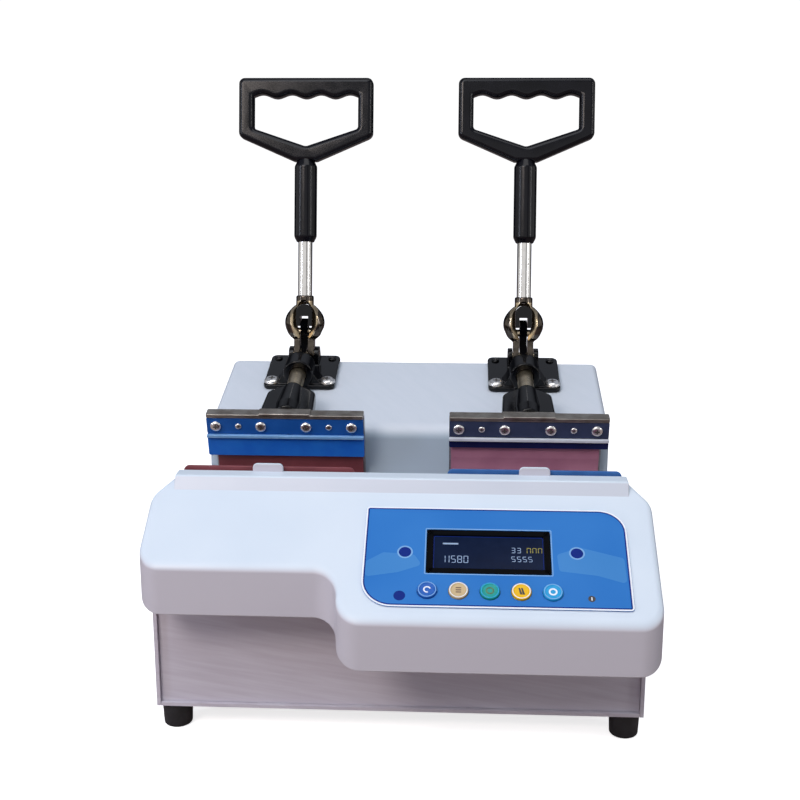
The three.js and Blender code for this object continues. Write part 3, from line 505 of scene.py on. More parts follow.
def remap(
    tree: Tree, value: Socket, low: float, high: float, start: Socket | float = 0.0, end: float = 1.0,
    curve: str = "LINEAR",
) -> Socket:
    """Spreads the range from low to high over the one from start to end."""
    inputs = {"Value": value, "From Min": low, "From Max": high, "To Min": start, "To Max": end}
    return add_node(tree, "ShaderNodeMapRange", inputs, interpolation_type=curve).outputs["Result"]


def blend(tree: Tree, share: Socket, first: Socket | str, second: Socket | str) -> Socket:
    """Blends two colours, hex ones or linked ones."""
    ends = [linear(end) if isinstance(end, str) else end for end in (first, second)]
    return add_node(tree, "ShaderNodeMix", {0: share, 6: ends[0], 7: ends[1]}, data_type="RGBA").outputs[2]


@dataclass
class Coat:
    """A material in the making: its finish, node tree, shader, and the place on the piece."""

    finish: "Finish"
    tree: Tree
    shader: bpy.types.Node
    place: Socket

    def noise(self, size: float, detail: float, place: Socket | None = None) -> Socket:
        """Soft noise from 0 to 1 with spots of about the given size in mm."""
        inputs = {"Vector": place or self.place, "Scale": 1 / (size * MM), "Detail": detail}
        return add_node(self.tree, "ShaderNodeTexNoise", inputs).outputs[0]

    def mapped(self, scale: Place, turn: Place = (0.0, 0.0, 0.0), kind: str = "POINT") -> Socket:
        """The place, stretched and turned."""
        inputs = {"Vector": self.place, "Scale": scale, "Rotation": turn}
        return add_node(self.tree, "ShaderNodeMapping", inputs, vector_type=kind).outputs["Vector"]

    def feed(self, name: str, value: Socket) -> None:
        """Links a pattern to one of the shader's inputs."""
        self.tree.links.new(value, self.shader.inputs[name])

    def tint(self, factor: Socket, low: float = 0.35, high: float = 0.65) -> None:
        """Blends the clean colour into the shade colour, and both into the painted shade of upright faces, a
        tone that stands for the light they get less of.

        Args:
            factor: The pattern.
            low: Its value where only the clean colour shows.
            high: Its value where only the shade shows.
        """
        finish, tree = self.finish, self.tree
        mixed = blend(tree, remap(tree, factor, low, high), finish.colour, finish.shade)
        # Upright faces take the upright colour as painted shade, which fades out as faces lie flatter
        if finish.upright:
            facing = add_node(tree, "ShaderNodeNewGeometry").outputs["Normal"]
            rise = add_node(tree, "ShaderNodeSeparateXYZ", {"Vector": facing}).outputs["Z"]
            unshaded_share = remap(tree, rise, *UPRIGHT_SHADE_RANGE, curve="SMOOTHSTEP")
            mixed = blend(tree, unshaded_share, finish.upright, mixed)
        self.feed("Base Color", mixed)

    def gloss(self, factor: Socket, spread: float) -> None:
        """Lets the roughness wander.

        Args:
            factor: The pattern.
            spread: How far it goes to each side.
        """
        rough = self.finish.roughness
        low, high = max(0.02, rough - spread), rough + spread
        self.feed("Roughness", remap(self.tree, factor, *NOISE_RANGE, low, high))

    def relief(self, height: Socket, depth: float, strength: float = 0.5) -> None:
        """Raises the surface by a height map, its depth in mm."""
        inputs = {"Height": height, "Distance": depth * MM, "Strength": strength}
        self.feed("Normal", add_node(self.tree, "ShaderNodeBump", inputs).outputs["Normal"])


@dataclass(frozen=True)
class Finish:
    """A surface: its name, its colours, how it shines, and the noise in its colour, gloss and relief.

    Patch, dull and grain are (size in mm, detail) of the noise in colour, gloss and relief.
    """

    name: str
    colour: str
    shade: str
    roughness: float = 0.4
    metallic: float = 0.0
    ior: float = 1.5
    coat: float = 0.0
    # Colour of upright faces, a painted shade for the light that they get less of than lying faces
    upright: str = ""
    patch: Point = (70, 2)
    share: Point = (0.35, 0.65)
    dull: Point = (18, 4)
    spread: float = 0.05
    grain: Point = (0.8, 3)
    depth: float = 0.02
    strength: float = 0.5

    def material(self) -> bpy.types.Material:
        """The material's nodes, made the first time they are asked for.

        Returns:
            The material.
        """
        found = bpy.data.materials.get(self.name)
        if found:
            return found
        made = bpy.data.materials.new(self.name)
        made.use_nodes = True
        made.diffuse_color = linear(self.colour)
        shader = made.node_tree.nodes["Principled BSDF"]
        values = {
            "Base Color": linear(self.colour), "Roughness": self.roughness, "Metallic": self.metallic,
            "IOR": self.ior, "Coat Weight": self.coat, "Coat Roughness": 0.05,
        }
        for name, value in values.items():
            shader.inputs[name].default_value = value
        place = add_node(made.node_tree, "ShaderNodeTexCoord").outputs["Object"]
        self.dress(Coat(self, made.node_tree, shader, place))
        return made

    def dress(self, coat: Coat) -> None:
        """Noise in the colour, the gloss and the relief.

        Args:
            coat: The material in the making.
        """
        coat.tint(coat.noise(*self.patch), *self.share)
        if self.spread > 0:
            coat.gloss(coat.noise(*self.dull), self.spread)
        coat.relief(coat.noise(*self.grain), self.depth, self.strength)


@dataclass(frozen=True)
class MouldedPlastic(Finish):
    """Injection-moulded plastic with a fine grain and a faint unevenness of colour."""


@dataclass(frozen=True)
class GlossyMoulding(Finish):
    """Polished plastic or thick enamel, slightly wavy and slightly smudged."""

    patch: Point = (14, 4)
    dull: Point = (14, 4)
    spread: float = 0.04
    grain: Point = (6, 1)
    depth: float = 0.05
    strength: float = 0.15


@dataclass(frozen=True)
class Plating(Finish):
    """Polished metal plating with finger smudges and the last polishing marks."""

    metallic: float = 1.0
    patch: Point = (5, 4)
    share: Point = (0.4, 0.8)
    dull: Point = (5, 4)
    spread: float = 0.04
    grain: Point = (1.2, 2)
    depth: float = 0.008
    strength: float = 0.2


@dataclass(frozen=True)
class Rubber(Finish):
    """Dull moulded rubber with a dusty bloom and pores."""

    patch: Point = (7, 5)
    dull: Point = (4, 2)
    spread: float = 0.08
    grain: Point = (0.5, 2)
    depth: float = 0.04


@dataclass(frozen=True)
class PrintedFilm(Finish):
    """Polyester film printed on its back, an even colour under a very fine satin grain."""

    ior: float = 1.2
    patch: Point = (50, 1)
    spread: float = 0.0
    grain: Point = (0.6, 2)
    depth: float = 0.01
    strength: float = 0.3


@dataclass(frozen=True)
class Paint(Finish):
    """Baked paint on sheet steel: orange peel, and fine streaks in the gloss, repeated in the colour as a
    painted reflection.
    """

    # Size and detail of the streaks, whose colour is a painted reflection
    streak: Point = (45, 5)
    streak_share: float = 1 / 14
    streak_turn: float = 20.0
    share: Point = (0.3, 0.7)
    spread: float = 0.07
    grain: Point = (1.6, 1)
    depth: float = 0.03
    strength: float = 0.35

    def dress(self, coat: Coat) -> None:
        """Orange peel in the relief, streaks in the gloss, and the same streaks in the colour as a painted
        reflection.

        Args:
            coat: The material in the making.
        """
        turn, scale = (0, math.radians(self.streak_turn), 0), (1, 1, self.streak_share)
        streaks_and_reflection = coat.noise(*self.streak, coat.mapped(scale, turn, "TEXTURE"))
        coat.tint(streaks_and_reflection, *self.share)
        coat.gloss(streaks_and_reflection, self.spread)
        coat.relief(coat.noise(*self.grain), self.depth, self.strength)


@dataclass(frozen=True)
class BrushedMetal(Finish):
    """Metal with brushing lines along one axis, and stains that the heat left."""

    stretch: Place = (1.0, 30.0, 30.0)
    line: float = 12.0
    stain: float = 9.0
    share: Point = (0.38, 0.62)
    spread: float = 0.1
    depth: float = 0.03
    strength: float = 0.4

    def dress(self, coat: Coat) -> None:
        """Lines in colour, gloss and relief, over blotches of the second colour.

        Args:
            coat: The material in the making.
        """
        lines = coat.noise(self.line, 4, coat.mapped(self.stretch))
        both = calc(coat.tree, "ADD", lines, coat.noise(self.stain, 5))
        coat.tint(calc(coat.tree, "MULTIPLY", both, 0.5), *self.share)
        coat.gloss(lines, self.spread)
        coat.relief(lines, self.depth, self.strength)


@dataclass(frozen=True)
class HeatMat(Finish):
    """Silicone rubber pressed over glass cloth: a weave that shows faintly, and scorched patches."""

    weave: float = 22.0
    patch: Point = (26, 3)
    dull: Point = (12, 2)
    spread: float = 0.06
    depth: float = 0.05
    strength: float = 0.4

    def dress(self, coat: Coat) -> None:
        """Cloth in the relief, scorching in the colour.

        Args:
            coat: The material in the making.
        """
        coat.tint(coat.noise(*self.patch), *self.share)
        inputs = {"Vector": coat.place, "Scale": 1 / (self.weave * MM), "Distortion": 0.4}
        threads = [
            add_node(coat.tree, "ShaderNodeTexWave", inputs, bands_direction=axis).outputs["Fac"]
            for axis in "XZ"
        ]
        coat.gloss(coat.noise(*self.dull), self.spread)
        coat.relief(calc(coat.tree, "MULTIPLY", *threads), self.depth, self.strength)


@dataclass(frozen=True)
class CircuitBoard(Finish):
    """Solder mask with copper tracks showing through as lighter lines."""

    track: float = 5.0
    share: Point = (0.42, 0.5)
    depth: float = 0.05

    def dress(self, coat: Coat) -> None:
        """Square-cornered tracks from a cell pattern.

        Args:
            coat: The material in the making.
        """
        inputs = {"Vector": coat.place, "Scale": 1 / (self.track * MM)}
        cells = add_node(coat.tree, "ShaderNodeTexVoronoi", inputs, distance="CHEBYCHEV", feature="F1")
        coat.tint(cells.outputs["Distance"], *self.share)
        coat.relief(cells.outputs["Distance"], self.depth)


class Palette:
    """Every finish of the machine."""

    # Blue-white plastic of the console, with a painted shade, duller and warmer, on its upright faces
    shell = MouldedPlastic("blue_white_abs", "#D7E3EE", "#D2DFEB", 0.38, upright="#CAC8D1")
    # Base plastic of the console in its shade
    base = MouldedPlastic("console_base_abs", "#BDB9C0", "#B2AEB6", 0.5)
    # Housing's paint, a touch greyer than the console, with a darker, bluer painted shade on its upright
    # faces
    housing = Paint("housing_paint", "#D2DAE4", "#CED7E1", 0.4, upright="#B1C3D1")
    # Cabinet's grey-mauve paint, with streaks in its gloss and a painted reflection of them in its colour
    cabinet = Paint("mauve_cabinet_paint", "#D8D5DF", "#CCC7D2", 0.42, streak_turn=9)
    # Grey sheen of the zinc-plated sheet inside and behind
    zinc = BrushedMetal("zinc_plated_sheet", "#A9ABAD", "#8B8E92", 0.38, 0.9, stain=16)
    # Dull black of the feet
    foot = Rubber("black_foot_rubber", "#17171A", "#222226", 0.55, ior=1.52)
    # Deep wet black of the castings
    enamel = GlossyMoulding("thick_black_enamel", "#020204", "#050508", 0.12, ior=1.36)
    # Softer black of the grips
    grip = GlossyMoulding("gloss_black_plastic", "#04040A", "#070710", 0.2, ior=1.34)
    # Satin blue of the control panel
    film = PrintedFilm("blue_polyester_film", "#2C73C0", "#347AC5", 0.5)
    # Lighter blue print on it
    film_light = PrintedFilm("print_light_blue", "#4083C5", "#4688C9", 0.5)
    # White print round it
    print_white = PrintedFilm("print_white", "#F2F6FB", "#EAF0F7")
    # Dark blue print inside the white one
    print_navy = PrintedFilm("print_navy", "#0A2578", "#0C2980")
    # Pale print round lamps, buttons and display
    print_grey = PrintedFilm("print_grey", "#86B4E2", "#7CACDC")
    # Brown mark of the second button
    print_brown = PrintedFilm("print_brown", "#54352B", "#5C3B30", ior=1.5)
    # Gloss of the display's window
    glass = GlossyMoulding("display_window_glass", "#0B1730", "#0E1C38", 0.12, ior=1.15)
    # Display's black frame
    bezel = GlossyMoulding("display_bezel", "#020306", "#04050A", 0.3, ior=1.12)
    # Pale characters of the display
    letters = PrintedFilm("display_characters", "#9DB4D2", "#90A8C8", 0.3)
    # The display's yellowish group of characters
    letters_warm = PrintedFilm("display_characters_warm", "#A9A252", "#9E974B", 0.3)
    # Push buttons, in their five colours
    button_blue = MouldedPlastic("blue_button_abs", "#2A67BE", "#265FB4", 0.3, ior=1.3)
    button_tan = MouldedPlastic("tan_button_abs", "#D2BC92", "#C9B288", 0.3, ior=1.3)
    button_green = MouldedPlastic("green_button_abs", "#22A49C", "#1D9A92", 0.3, ior=1.3)
    button_yellow = MouldedPlastic("yellow_button_abs", "#F4C41C", "#ECBB18", 0.3, ior=1.3)
    button_cyan = MouldedPlastic("cyan_button_abs", "#2CA6E0", "#279DD6", 0.3, ior=1.3)
    # Circuit board, green under clear lacquer
    board = CircuitBoard("green_solder_mask", "#1E5B37", "#2E7A4C", 0.35, coat=0.3)
    # Bright mirror of the rods
    chrome = Plating("chrome_plating", "#E2E0DE", "#D2CFCC", 0.08)
    # Yokes' chrome, darkened by a painted reflection of a dark room
    yoke = Plating("yoke_chrome", "#5A534C", "#26221F", 0.12)
    # Painted warm reflection on the flats round the yokes' openings
    yoke_flat = Plating("yoke_flat_chrome", "#C8B698", "#8A7B64", 0.2)
    # Bright spots of the plated screws
    screw = Plating("screw_plating", "#F2F0EE", "#CFCCC8", 0.26)
    # Painted shade in the screws' recesses and the sensor hole, also the dark ink of the fourth button's
    # mark
    recess = Rubber("screw_recess", "#3A3836", "#454240", 0.6)
    # Turned steel of the plungers, with lines round them
    plunger = BrushedMetal("drawn_steel", "#D8CAB0", "#B0A188", 0.32, 1.0, stretch=(1, 30, 1), line=10)
    # Brushed jaw plates, browned by heat
    plate = BrushedMetal("browned_plate", "#A8A39C", "#7C756E", 0.36, 0.85, line=14)
    # Left station's blue enamel
    blue = GlossyMoulding("gloss_blue_enamel", "#1A54A2", "#1F5BAB", 0.34, ior=1.3)
    # Left station's band: the blue enamel of its strip, painted lighter with painted light
    band_blue_painted_light = GlossyMoulding("band_blue_enamel", "#1C66CA", "#2270D0", 0.34, ior=1.3)
    # Right station's navy enamel
    navy = GlossyMoulding("gloss_navy_enamel", "#3B4562", "#333C58", 0.34, ior=1.3)
    # Deeper blue of the right station's band
    band_navy = GlossyMoulding("deep_navy_enamel", "#111846", "#141C50", 0.34, ior=1.3)
    # Front rim of the right station, in a lighter navy
    rim = GlossyMoulding("rim_blue", "#3A6AA8", "#33609C", 0.34, ior=1.3)
    # White lacquer on the right band's lip, and its light blue twin on the left
    lip_white = GlossyMoulding("lip_white", "#DDE4EC", "#CCD2DC", 0.3, coat=0.2)
    lip_blue = GlossyMoulding("lip_blue", "#7FB0E0", "#74A7DA", 0.3, coat=0.2)
    # Left station's heating mat: red-brown silicone, darkened with painted shade
    mat_left = HeatMat("mat_red_brown", "#7E4046", "#6E353B", 0.55, ior=1.41)
    # Right station's mauve heating mat
    mat_right = HeatMat("mat_mauve", "#B47D94", "#A66F87", 0.55, ior=1.41)


@dataclass
class Workshop:
    """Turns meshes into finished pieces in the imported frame, and keeps a list of them."""

    nodes: dict[str, Object]
    to_frame: Matrix
    made: list[Object] = field(default_factory=list)

    def piece(
        self, name: str, shape: Mesh | Object, place: Matrix, finish: Finish, slot: str, body: str = "root",
        node: str = "", crease: float = 32.0,
    ) -> Object:
        """Makes one visible piece.

        Args:
            name: The object's name.
            shape: Its mesh in its own millimetres, or a worked object.
            place: From those millimetres to the machine's.
            finish: Its surface.
            slot: The record's material slot that it belongs to; not used.
            body: The body that carries it.
            node: The CAD node that it stands for, if any.
            crease: Angle in degrees past which an edge stays sharp.

        Returns:
            The object.
        """
        made = shape if isinstance(shape, Object) else scratch(shape)
        made.name = made.data.name = name
        made.data.transform(self.to_frame @ place)
        made.data.shade_smooth()
        made.data.set_sharp_from_angle(angle=math.radians(crease))
        made.modifiers.new("even_normals", "WEIGHTED_NORMAL").keep_sharp = True
        made.data.materials.clear()
        made.data.materials.append(finish.material())
        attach(made, body)
        if node:
            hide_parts(node)
        self.made.append(made)
        return made

    def dress(self, finish: Finish, bevel: float, *names: str) -> None:
        """Gives CAD nodes their finish and softens their sharp edges.

        Args:
            finish: The surface.
            bevel: Width of the softened edges, or 0 for none.
            names: The nodes.
        """
        for name in names:
            node = self.nodes[name]
            node.data.materials.clear()
            node.data.materials.append(finish.material())
            if bevel > 0:
                soft = node.modifiers.new("soft_edges", "BEVEL")
                soft.width = bevel * MM
                soft.segments = 2
                soft.limit_method = "ANGLE"
                soft.angle_limit = math.radians(40)
                soft.harden_normals = False


@dataclass
class Studio:
    """Camera, floor and light of a product photograph on white."""

    camera_place: Place = (0.042, -0.88475, 0.426)
    camera_turn: Place = (math.radians(76.4), 0.0, math.radians(3))
    lens: float = 55.8
    sensor: float = 36.0
    clip: float = 0.01
    floor_half: float = 3.0
    floor_thick: float = 0.01
    floor_drop: float = 0.0002
    floor_bright: float = 0.75
    floor_bounce: str = "#A3948F"
    white: str = "#FFFFFF"
    sky_bright: float = 1.05
    room_low: str = "#3A393E"
    room_high: str = "#E6EEFF"
    world_light: float = 0.5
    card_half: float = 1.75
    card_top: float = 0.3
    card_dark: str = "#25272C"
    card_sky: str = "#A4A9B4"
    card_fade: float = 0.3
    mirror_light: float = 0.85
    slit: float = 0.49
    slit_half: Point = (0.06, 0.1)
    middle: Place = (0.0, 0.0, 0.2)

    def build(self) -> None:
        """Sets up camera, floor, world and lamps."""
        camera = bpy.data.cameras.new("camera")
        camera.lens = self.lens
        camera.sensor_width = self.sensor
        camera.clip_start = self.clip
        view = bpy.data.objects.new("camera", camera)
        view.location = self.camera_place
        view.rotation_euler = self.camera_turn
        scene = bpy.context.scene
        scene.collection.objects.link(view)
        scene.camera = view
        scene.view_settings.view_transform = "Standard"
        self.floor()
        self.world()
        self.lamps()

    def floor(self) -> None:
        """White paper that glows a little, so that only the machine's shadow shows on it."""
        paper = scratch(slab(rectangle(-1, 1, -1, 1), -self.floor_thick, 0), "floor")
        paper.data.transform(Matrix.Diagonal((self.floor_half, self.floor_half, 1, 1)))
        paper.location.z = -self.floor_drop
        made = bpy.data.materials.new("studio_paper")
        made.use_nodes = True
        tree = made.node_tree
        inputs = tree.nodes["Principled BSDF"].inputs
        inputs["Roughness"].default_value = 0.9
        inputs["Specular IOR Level"].default_value = 0.0
        inputs["Emission Color"].default_value = linear(self.white)
        ray = add_node(tree, "ShaderNodeLightPath").outputs["Is Camera Ray"]
        tree.links.new(calc(tree, "MULTIPLY", ray, self.floor_bright), inputs["Emission Strength"])
        tree.links.new(blend(tree, ray, self.floor_bounce, self.white), inputs["Base Color"])
        paper.data.materials.append(made)

    def world(self) -> None:
        """White to the camera, and a soft room with a darker band for what shines."""
        world = bpy.data.worlds.new("studio")
        bpy.context.scene.world = world
        world.use_nodes = True
        tree = world.node_tree
        rays = add_node(tree, "ShaderNodeLightPath").outputs
        seen, mirrored = rays["Is Camera Ray"], rays["Is Glossy Ray"]
        direction = add_node(tree, "ShaderNodeTexCoord").outputs["Generated"]
        height = add_node(tree, "ShaderNodeSeparateXYZ", {"Vector": direction}).outputs["Z"]
        rise = remap(tree, height, -0.05, 0.85, curve="SMOOTHSTEP")
        room = blend(tree, rise, self.room_low, self.room_high)
        around = blend(tree, mirrored, room, self.card(tree, direction))
        indirect = remap(tree, mirrored, 0, 1, self.world_light, self.mirror_light)
        background = tree.nodes["Background"].inputs
        tree.links.new(blend(tree, seen, around, self.white), background["Color"])
        tree.links.new(remap(tree, seen, 0, 1, indirect, self.sky_bright), background["Strength"])

    def card(self, tree: Tree, direction: Socket) -> Socket:
        """What shiny surfaces mirror: a wide white card in front with a dark slit, and a dim room.

        Args:
            tree: The world's node tree.
            direction: The direction that is looked in.

        Returns:
            The colour.
        """
        parts = add_node(tree, "ShaderNodeSeparateXYZ", {"Vector": direction}).outputs
        ahead = calc(tree, "MULTIPLY", parts["Y"], -1.0)
        turn = calc(tree, "ARCTAN2", parts["X"], ahead)
        away = calc(tree, "ABSOLUTE", turn)
        beside = calc(tree, "ABSOLUTE", calc(tree, "SUBTRACT", turn, self.slit))
        within = remap(tree, away, self.card_half, self.card_half + self.card_fade, 1.0, 0.0)
        off_slit = remap(tree, beside, *self.slit_half)
        below = remap(tree, parts["Z"], self.card_top, self.card_top + self.card_fade, 1.0, 0.0)
        whole = calc(tree, "MULTIPLY", calc(tree, "MULTIPLY", within, off_slit), below)
        dim = blend(tree, remap(tree, parts["Z"], 0.25, 0.6), self.card_dark, self.card_sky)
        return blend(tree, whole, dim, self.white)

    def lamps(self) -> None:
        """A broad key above and in front, a warm fill, a top light, and a thin strip at each side."""
        rows = [
            ("key", (-0.5, -1.1, 1.7), self.middle, (1.2, 0.8), 9, "#F2F6FF"),
            ("fill", (-0.8, -1.5, 1.3), self.middle, (0.7, 0.5), 13, "#FFF2EA"),
            ("top", (0.1, -0.3, 1.65), (0.0, 0.08, 0.2), (1.0, 0.6), 4, self.white),
            ("strip_left", (-1.2, -0.6, 0.6), self.middle, (0.06, 0.9), 3.5, "#E2EAFF"),
            ("strip_right", (1.2, -0.5, 0.7), self.middle, (0.06, 0.9), 2.2, self.white),
        ]
        for name, at, aim, size, watts, colour in rows:
            light = bpy.data.lights.new(name, "AREA")
            light.shape = "RECTANGLE"
            light.size, light.size_y = size
            light.energy = watts
            light.color = linear(colour)[:3]
            made = bpy.data.objects.new(name, light)
            made.location = at
            made.rotation_euler = (Vector(aim) - Vector(at)).to_track_quat("-Z", "Y").to_euler()
            bpy.context.scene.collection.objects.link(made)


@dataclass
class Assembly:
    """A sub-assembly, and the workshop that makes its pieces."""

    shop: Workshop


@dataclass
class Station(Assembly):
    """A sub-assembly that each of the two mug stations has."""

    side: Side

    @property
    def label(self) -> str:
        """The word that the station's names end with."""
        return self.side.name.lower()

    @property
    def left(self) -> bool:
        """Whether this is the left station."""
        return self.side is Side.LEFT

    @property
    def place(self) -> Matrix:
        """The station's frame on the housing's slope."""
        return MACHINE.slope(self.side)

    def add(
        self, name: str, shape: Mesh | Object, finish: Finish, slot: str, body: str = "", node: str = "",
        crease: float = 32.0, place: Matrix | None = None,
    ) -> Object:
        """Makes one of the station's pieces.

        Args:
            name: Its name, without the station's word, as in body and node.
            shape: Its mesh, or a worked object.
            finish: Its surface.
            slot: Its material slot.
            body: The moving body that carries it, if any.
            node: The CAD node that it stands for, if any.
            crease: Angle in degrees past which an edge stays sharp.
            place: Its place, or none for the station's own.

        Returns:
            The object.
        """
        end = f"_{self.label}"
        carrier, stands_for = (body + end if body else "root"), (node + end if node else "")
        at = place or self.place
        return self.shop.piece(name + end, shape, at, finish, slot, carrier, stands_for, crease)


@dataclass
class Feet(Assembly):
    """Tapered rubber feet with a rounded bottom and a bead at the top."""

    top: float = 10.8
    bottom: float = 9.8
    inset_x: float = 11.5
    inset_y: float = 13.0
    edge: float = 2.0
    neck: tuple[float, ...] = (0.3, 2.4, 1.6)

    def build(self) -> None:
        """Places the four feet under the cabinet."""
        height = MACHINE.foot_height - MACHINE.gap
        inward, start, end = self.neck
        profile = [
            (0, 0), (self.bottom, 0, self.edge), (self.top - inward, height - start, 0.8),
            (self.top, height - end, 0.3), (self.top, height, 0.4), (0, height),
        ]
        half = MACHINE.cabinet_width / 2 - self.inset_x
        rows = {"front": MACHINE.cabinet_front + self.inset_y, "rear": MACHINE.cabinet_rear - self.inset_y}
        for row, y in rows.items():
            for side in Side:
                name = f"foot_{row}_{side.name.lower()}"
                at = shift(side.value * half, y, 0)
                self.shop.piece(f"{name}_rubber", lathe(profile), at, Palette.foot, "foot_rubber", node=name)


@dataclass
class ScrewHead:
    """A pan-head screw with a cross recess, standing on Z = 0."""

    radius: float
    height: float
    recess: float = 0.55
    arm: float = 0.13
    sunk: float = 0.3
    proud: float = 0.03

    def head(self) -> Mesh:
        """The domed head.

        Returns:
            Its mesh.
        """
        r, h = self.radius, self.height
        side, dome = (r, h * 0.55, h * 0.4), (r * 0.72, h * 0.92, h * 0.6)
        return lathe([(0, 0), (r, 0), side, dome, (r * 0.5, h), (0, h)], sides=32, steps=5)

    def cross(self) -> Mesh:
        """The recess, shown as a cross of painted shade just proud of the head.

        Returns:
            Its mesh.
        """
        reach, half = self.radius * self.recess, self.radius * self.arm
        corners = []
        for turn in range(4):
            spin = Matrix.Rotation(turn * math.pi / 2, 2)
            corners += [spin @ Vector(p) for p in ((half, -half), (reach, -half), (reach, half))]
        return slab(corners, self.height - self.sunk, self.height + self.proud)

    def build(
        self, shop: Workshop, name: str, place: Matrix, slot: str, finish: Finish = Palette.screw,
        body: str = "root",
    ) -> None:
        """Places the head and its recess."""
        shop.piece(name, self.head(), place, finish, slot, body)
        # The recess is a dark cross of painted shade, not a hollow
        shop.piece(f"{name}_recess", self.cross(), place, Palette.recess, slot, body)


@dataclass
class Cabinet(Assembly):
    """Folded cabinet, its plates, and what is inside and behind it."""

    screw: ScrewHead = field(default_factory=lambda: ScrewHead(2.6, 1.4))
    screw_sunk: float = 3.0
    screw_rows: Point = (32, 81)
    screw_x: float = 155.0

    def build(self) -> None:
        """Dresses the sheet-metal nodes and adds the rear panel's screws."""
        dress = self.shop.dress
        dress(Palette.cabinet, 0.2, "base_cabinet", "front_panel", "rear_panel", "base_plate")
        dress(Palette.zinc, 0.5, "mount_frame", "jaw_cradle", "power_supply")
        dress(Palette.zinc, 0.2, "relay_block")
        dress(Palette.base, 0.4, "console_base")
        dress(Palette.board, 0, "control_board")
        dress(Palette.grip, 0.3, "mains_inlet", "switch_housing", "power_rocker")
        Feet(self.shop).build()
        low, high = self.screw_rows
        spots = [(side * self.screw_x, z) for z in (low, high) for side in (-1, 1)] + [(0, low), (0, high)]
        for i, (x, z) in enumerate(spots):
            place = shift(x, MACHINE.cabinet_rear - self.screw_sunk, z) @ TURN_TO_Y
            self.screw.build(self.shop, f"rear_panel_screw_{i + 1}", place, "zinc_steel")


@dataclass
class Console(Assembly):
    """White control console: a sloped shell with a stepped front edge, a raised lip and two tabs."""

    panel: "ControlPanel"
    width: float = 335.0
    rear_width: float = 306.0
    front: float = -174.0
    step_front: float = -141.0
    rear: float = -73.5
    lip_rear: float = -69.0
    lip_front: float = -82.0
    lip_top: float = 178.5
    lip_round: float = 2.2
    lip_back_round: float = 1.2
    skirt: float = 34.0
    edge: float = 4.5
    edge_drop: float = 3.6
    edge_steps: int = 7
    foot_round: float = 1.2
    corner: float = 15.0
    shoulder: float = 14.0
    step_x: float = -20.0
    step_round: float = 16.5
    tab_width: float = 21.0
    tab_height: float = 5.5
    tab_sunk: float = 2.0
    tab_thick: float = 2.5
    tab_round: float = 3.2
    boss_radius: float = 3.0
    boss_low: float = -11.7
    boss_high: float = -2.0

    def outline(self, inward: float = 0.0, rear: float | None = None) -> Outline:
        """The console seen from above.

        Args:
            inward: How far inside the skin's outer face.
            rear: Its rear end, or none for the shell's own.

        Returns:
            The outline.
        """
        half, behind = self.width / 2 - inward, self.rear_width / 2 - inward
        back = self.rear if rear is None else rear
        bend = self.lip_rear - self.shoulder * 1.5
        step, front = self.step_x - self.step_round + inward, self.front + inward
        return rounded(
            [
                (-behind, back), (-half, bend, self.shoulder),
                (-half, self.step_front + inward, self.corner - inward),
                (step, self.step_front + inward, self.step_round), (step, front, self.step_round),
                (half, front, self.corner - inward), (half, bend, self.shoulder), (behind, back),
            ],
            14,
        )

    def on_slope(self, flat: Outline, lift: float) -> Outline:
        """Lays an outline parallel to the slope, its points kept in plan."""
        return [Vector((p.x, p.y, MACHINE.panel_height(p.y) + lift)) for p in flat]

    def outside(self) -> Mesh:
        """The skirt with its small lower round, the upper rim's round, and the slope.

        Returns:
            The closed mesh.
        """
        flat, small = self.outline(), self.foot_round
        quarter = [math.pi / 2 * k / self.edge_steps for k in range(self.edge_steps + 1)]
        rows = [(small * (1 - math.sin(a)), -self.skirt + small * (1 - math.cos(a))) for a in quarter]
        rows += [(self.edge * (1 - math.cos(a)), -self.edge_drop * (1 - math.sin(a))) for a in quarter]
        return loft([self.on_slope(inset(flat, depth), lift) for depth, lift in rows])

    def inside(self) -> Mesh:
        """The hollow under the skin, open below and behind."""
        flat = self.outline(MACHINE.wall, self.rear + MACHINE.wall)
        return loft([self.on_slope(flat, lift) for lift in (-2 * self.skirt, -MACHINE.wall)])

    def lip(self) -> Mesh:
        """The raised rear lip with its slanted face.

        Returns:
            The closed mesh.
        """
        y, z, wall, half = MACHINE.crease_y, MACHINE.crease_z, MACHINE.wall, self.rear_width / 2
        rear, front, top = self.lip_rear, self.lip_front, self.lip_top
        section = [
            (rear, top, self.lip_back_round), (front, top, self.lip_round),
            (y, z), (y + wall, z - wall / 2), (rear, top - wall * 1.5),
        ]
        return moved(slab(rounded(section, 6), -half, half, bevel=0.6), ALONG_X)

    def build(self) -> None:
        """Cuts the shell and places it, with its lip, its tabs and the bosses under it."""
        body = combine(scratch(self.outside()), Work.CUT, self.inside(), *self.panel.openings())
        piece, slot = self.shop.piece, "white_abs"
        piece("console_skin", body, UNMOVED, Palette.shell, slot, node="console_shell")
        piece("console_lip", self.lip(), UNMOVED, Palette.shell, slot)
        half, low, high = self.tab_width / 2, self.lip_top - self.tab_sunk, self.lip_top + self.tab_height
        section = [(-half, low), (half, low), (half, high, self.tab_round), (-half, high, self.tab_round)]
        for side in Side:
            tab = slab(rounded(section, 8), -self.lip_rear, self.tab_thick - self.lip_rear, bevel=0.7)
            place = shift(side.value * MACHINE.station_x, 0, 0)
            piece(f"lip_tab_{side.name.lower()}", moved(tab, ALONG_Y), place, Palette.shell, slot)
        for i, (x, down) in enumerate(self.panel.boss_spots()):
            boss = rod(self.boss_radius, self.boss_low, self.boss_high, sides=24)
            piece(f"board_boss_{i + 1}", boss, MACHINE.panel() @ shift(x, -down, 0), Palette.base, slot)


class Mark(Enum):
    """What the middle of a push button shows."""

    SWIRL = "swirl"
    BARS = "bars"
    RING = "ring"
    SLASH = "slash"


@dataclass(frozen=True)
class ButtonLook:
    """Colours and mark of one push button."""

    cap: Finish
    rim: Finish
    mark: Finish
    sign: Mark
    slot: str


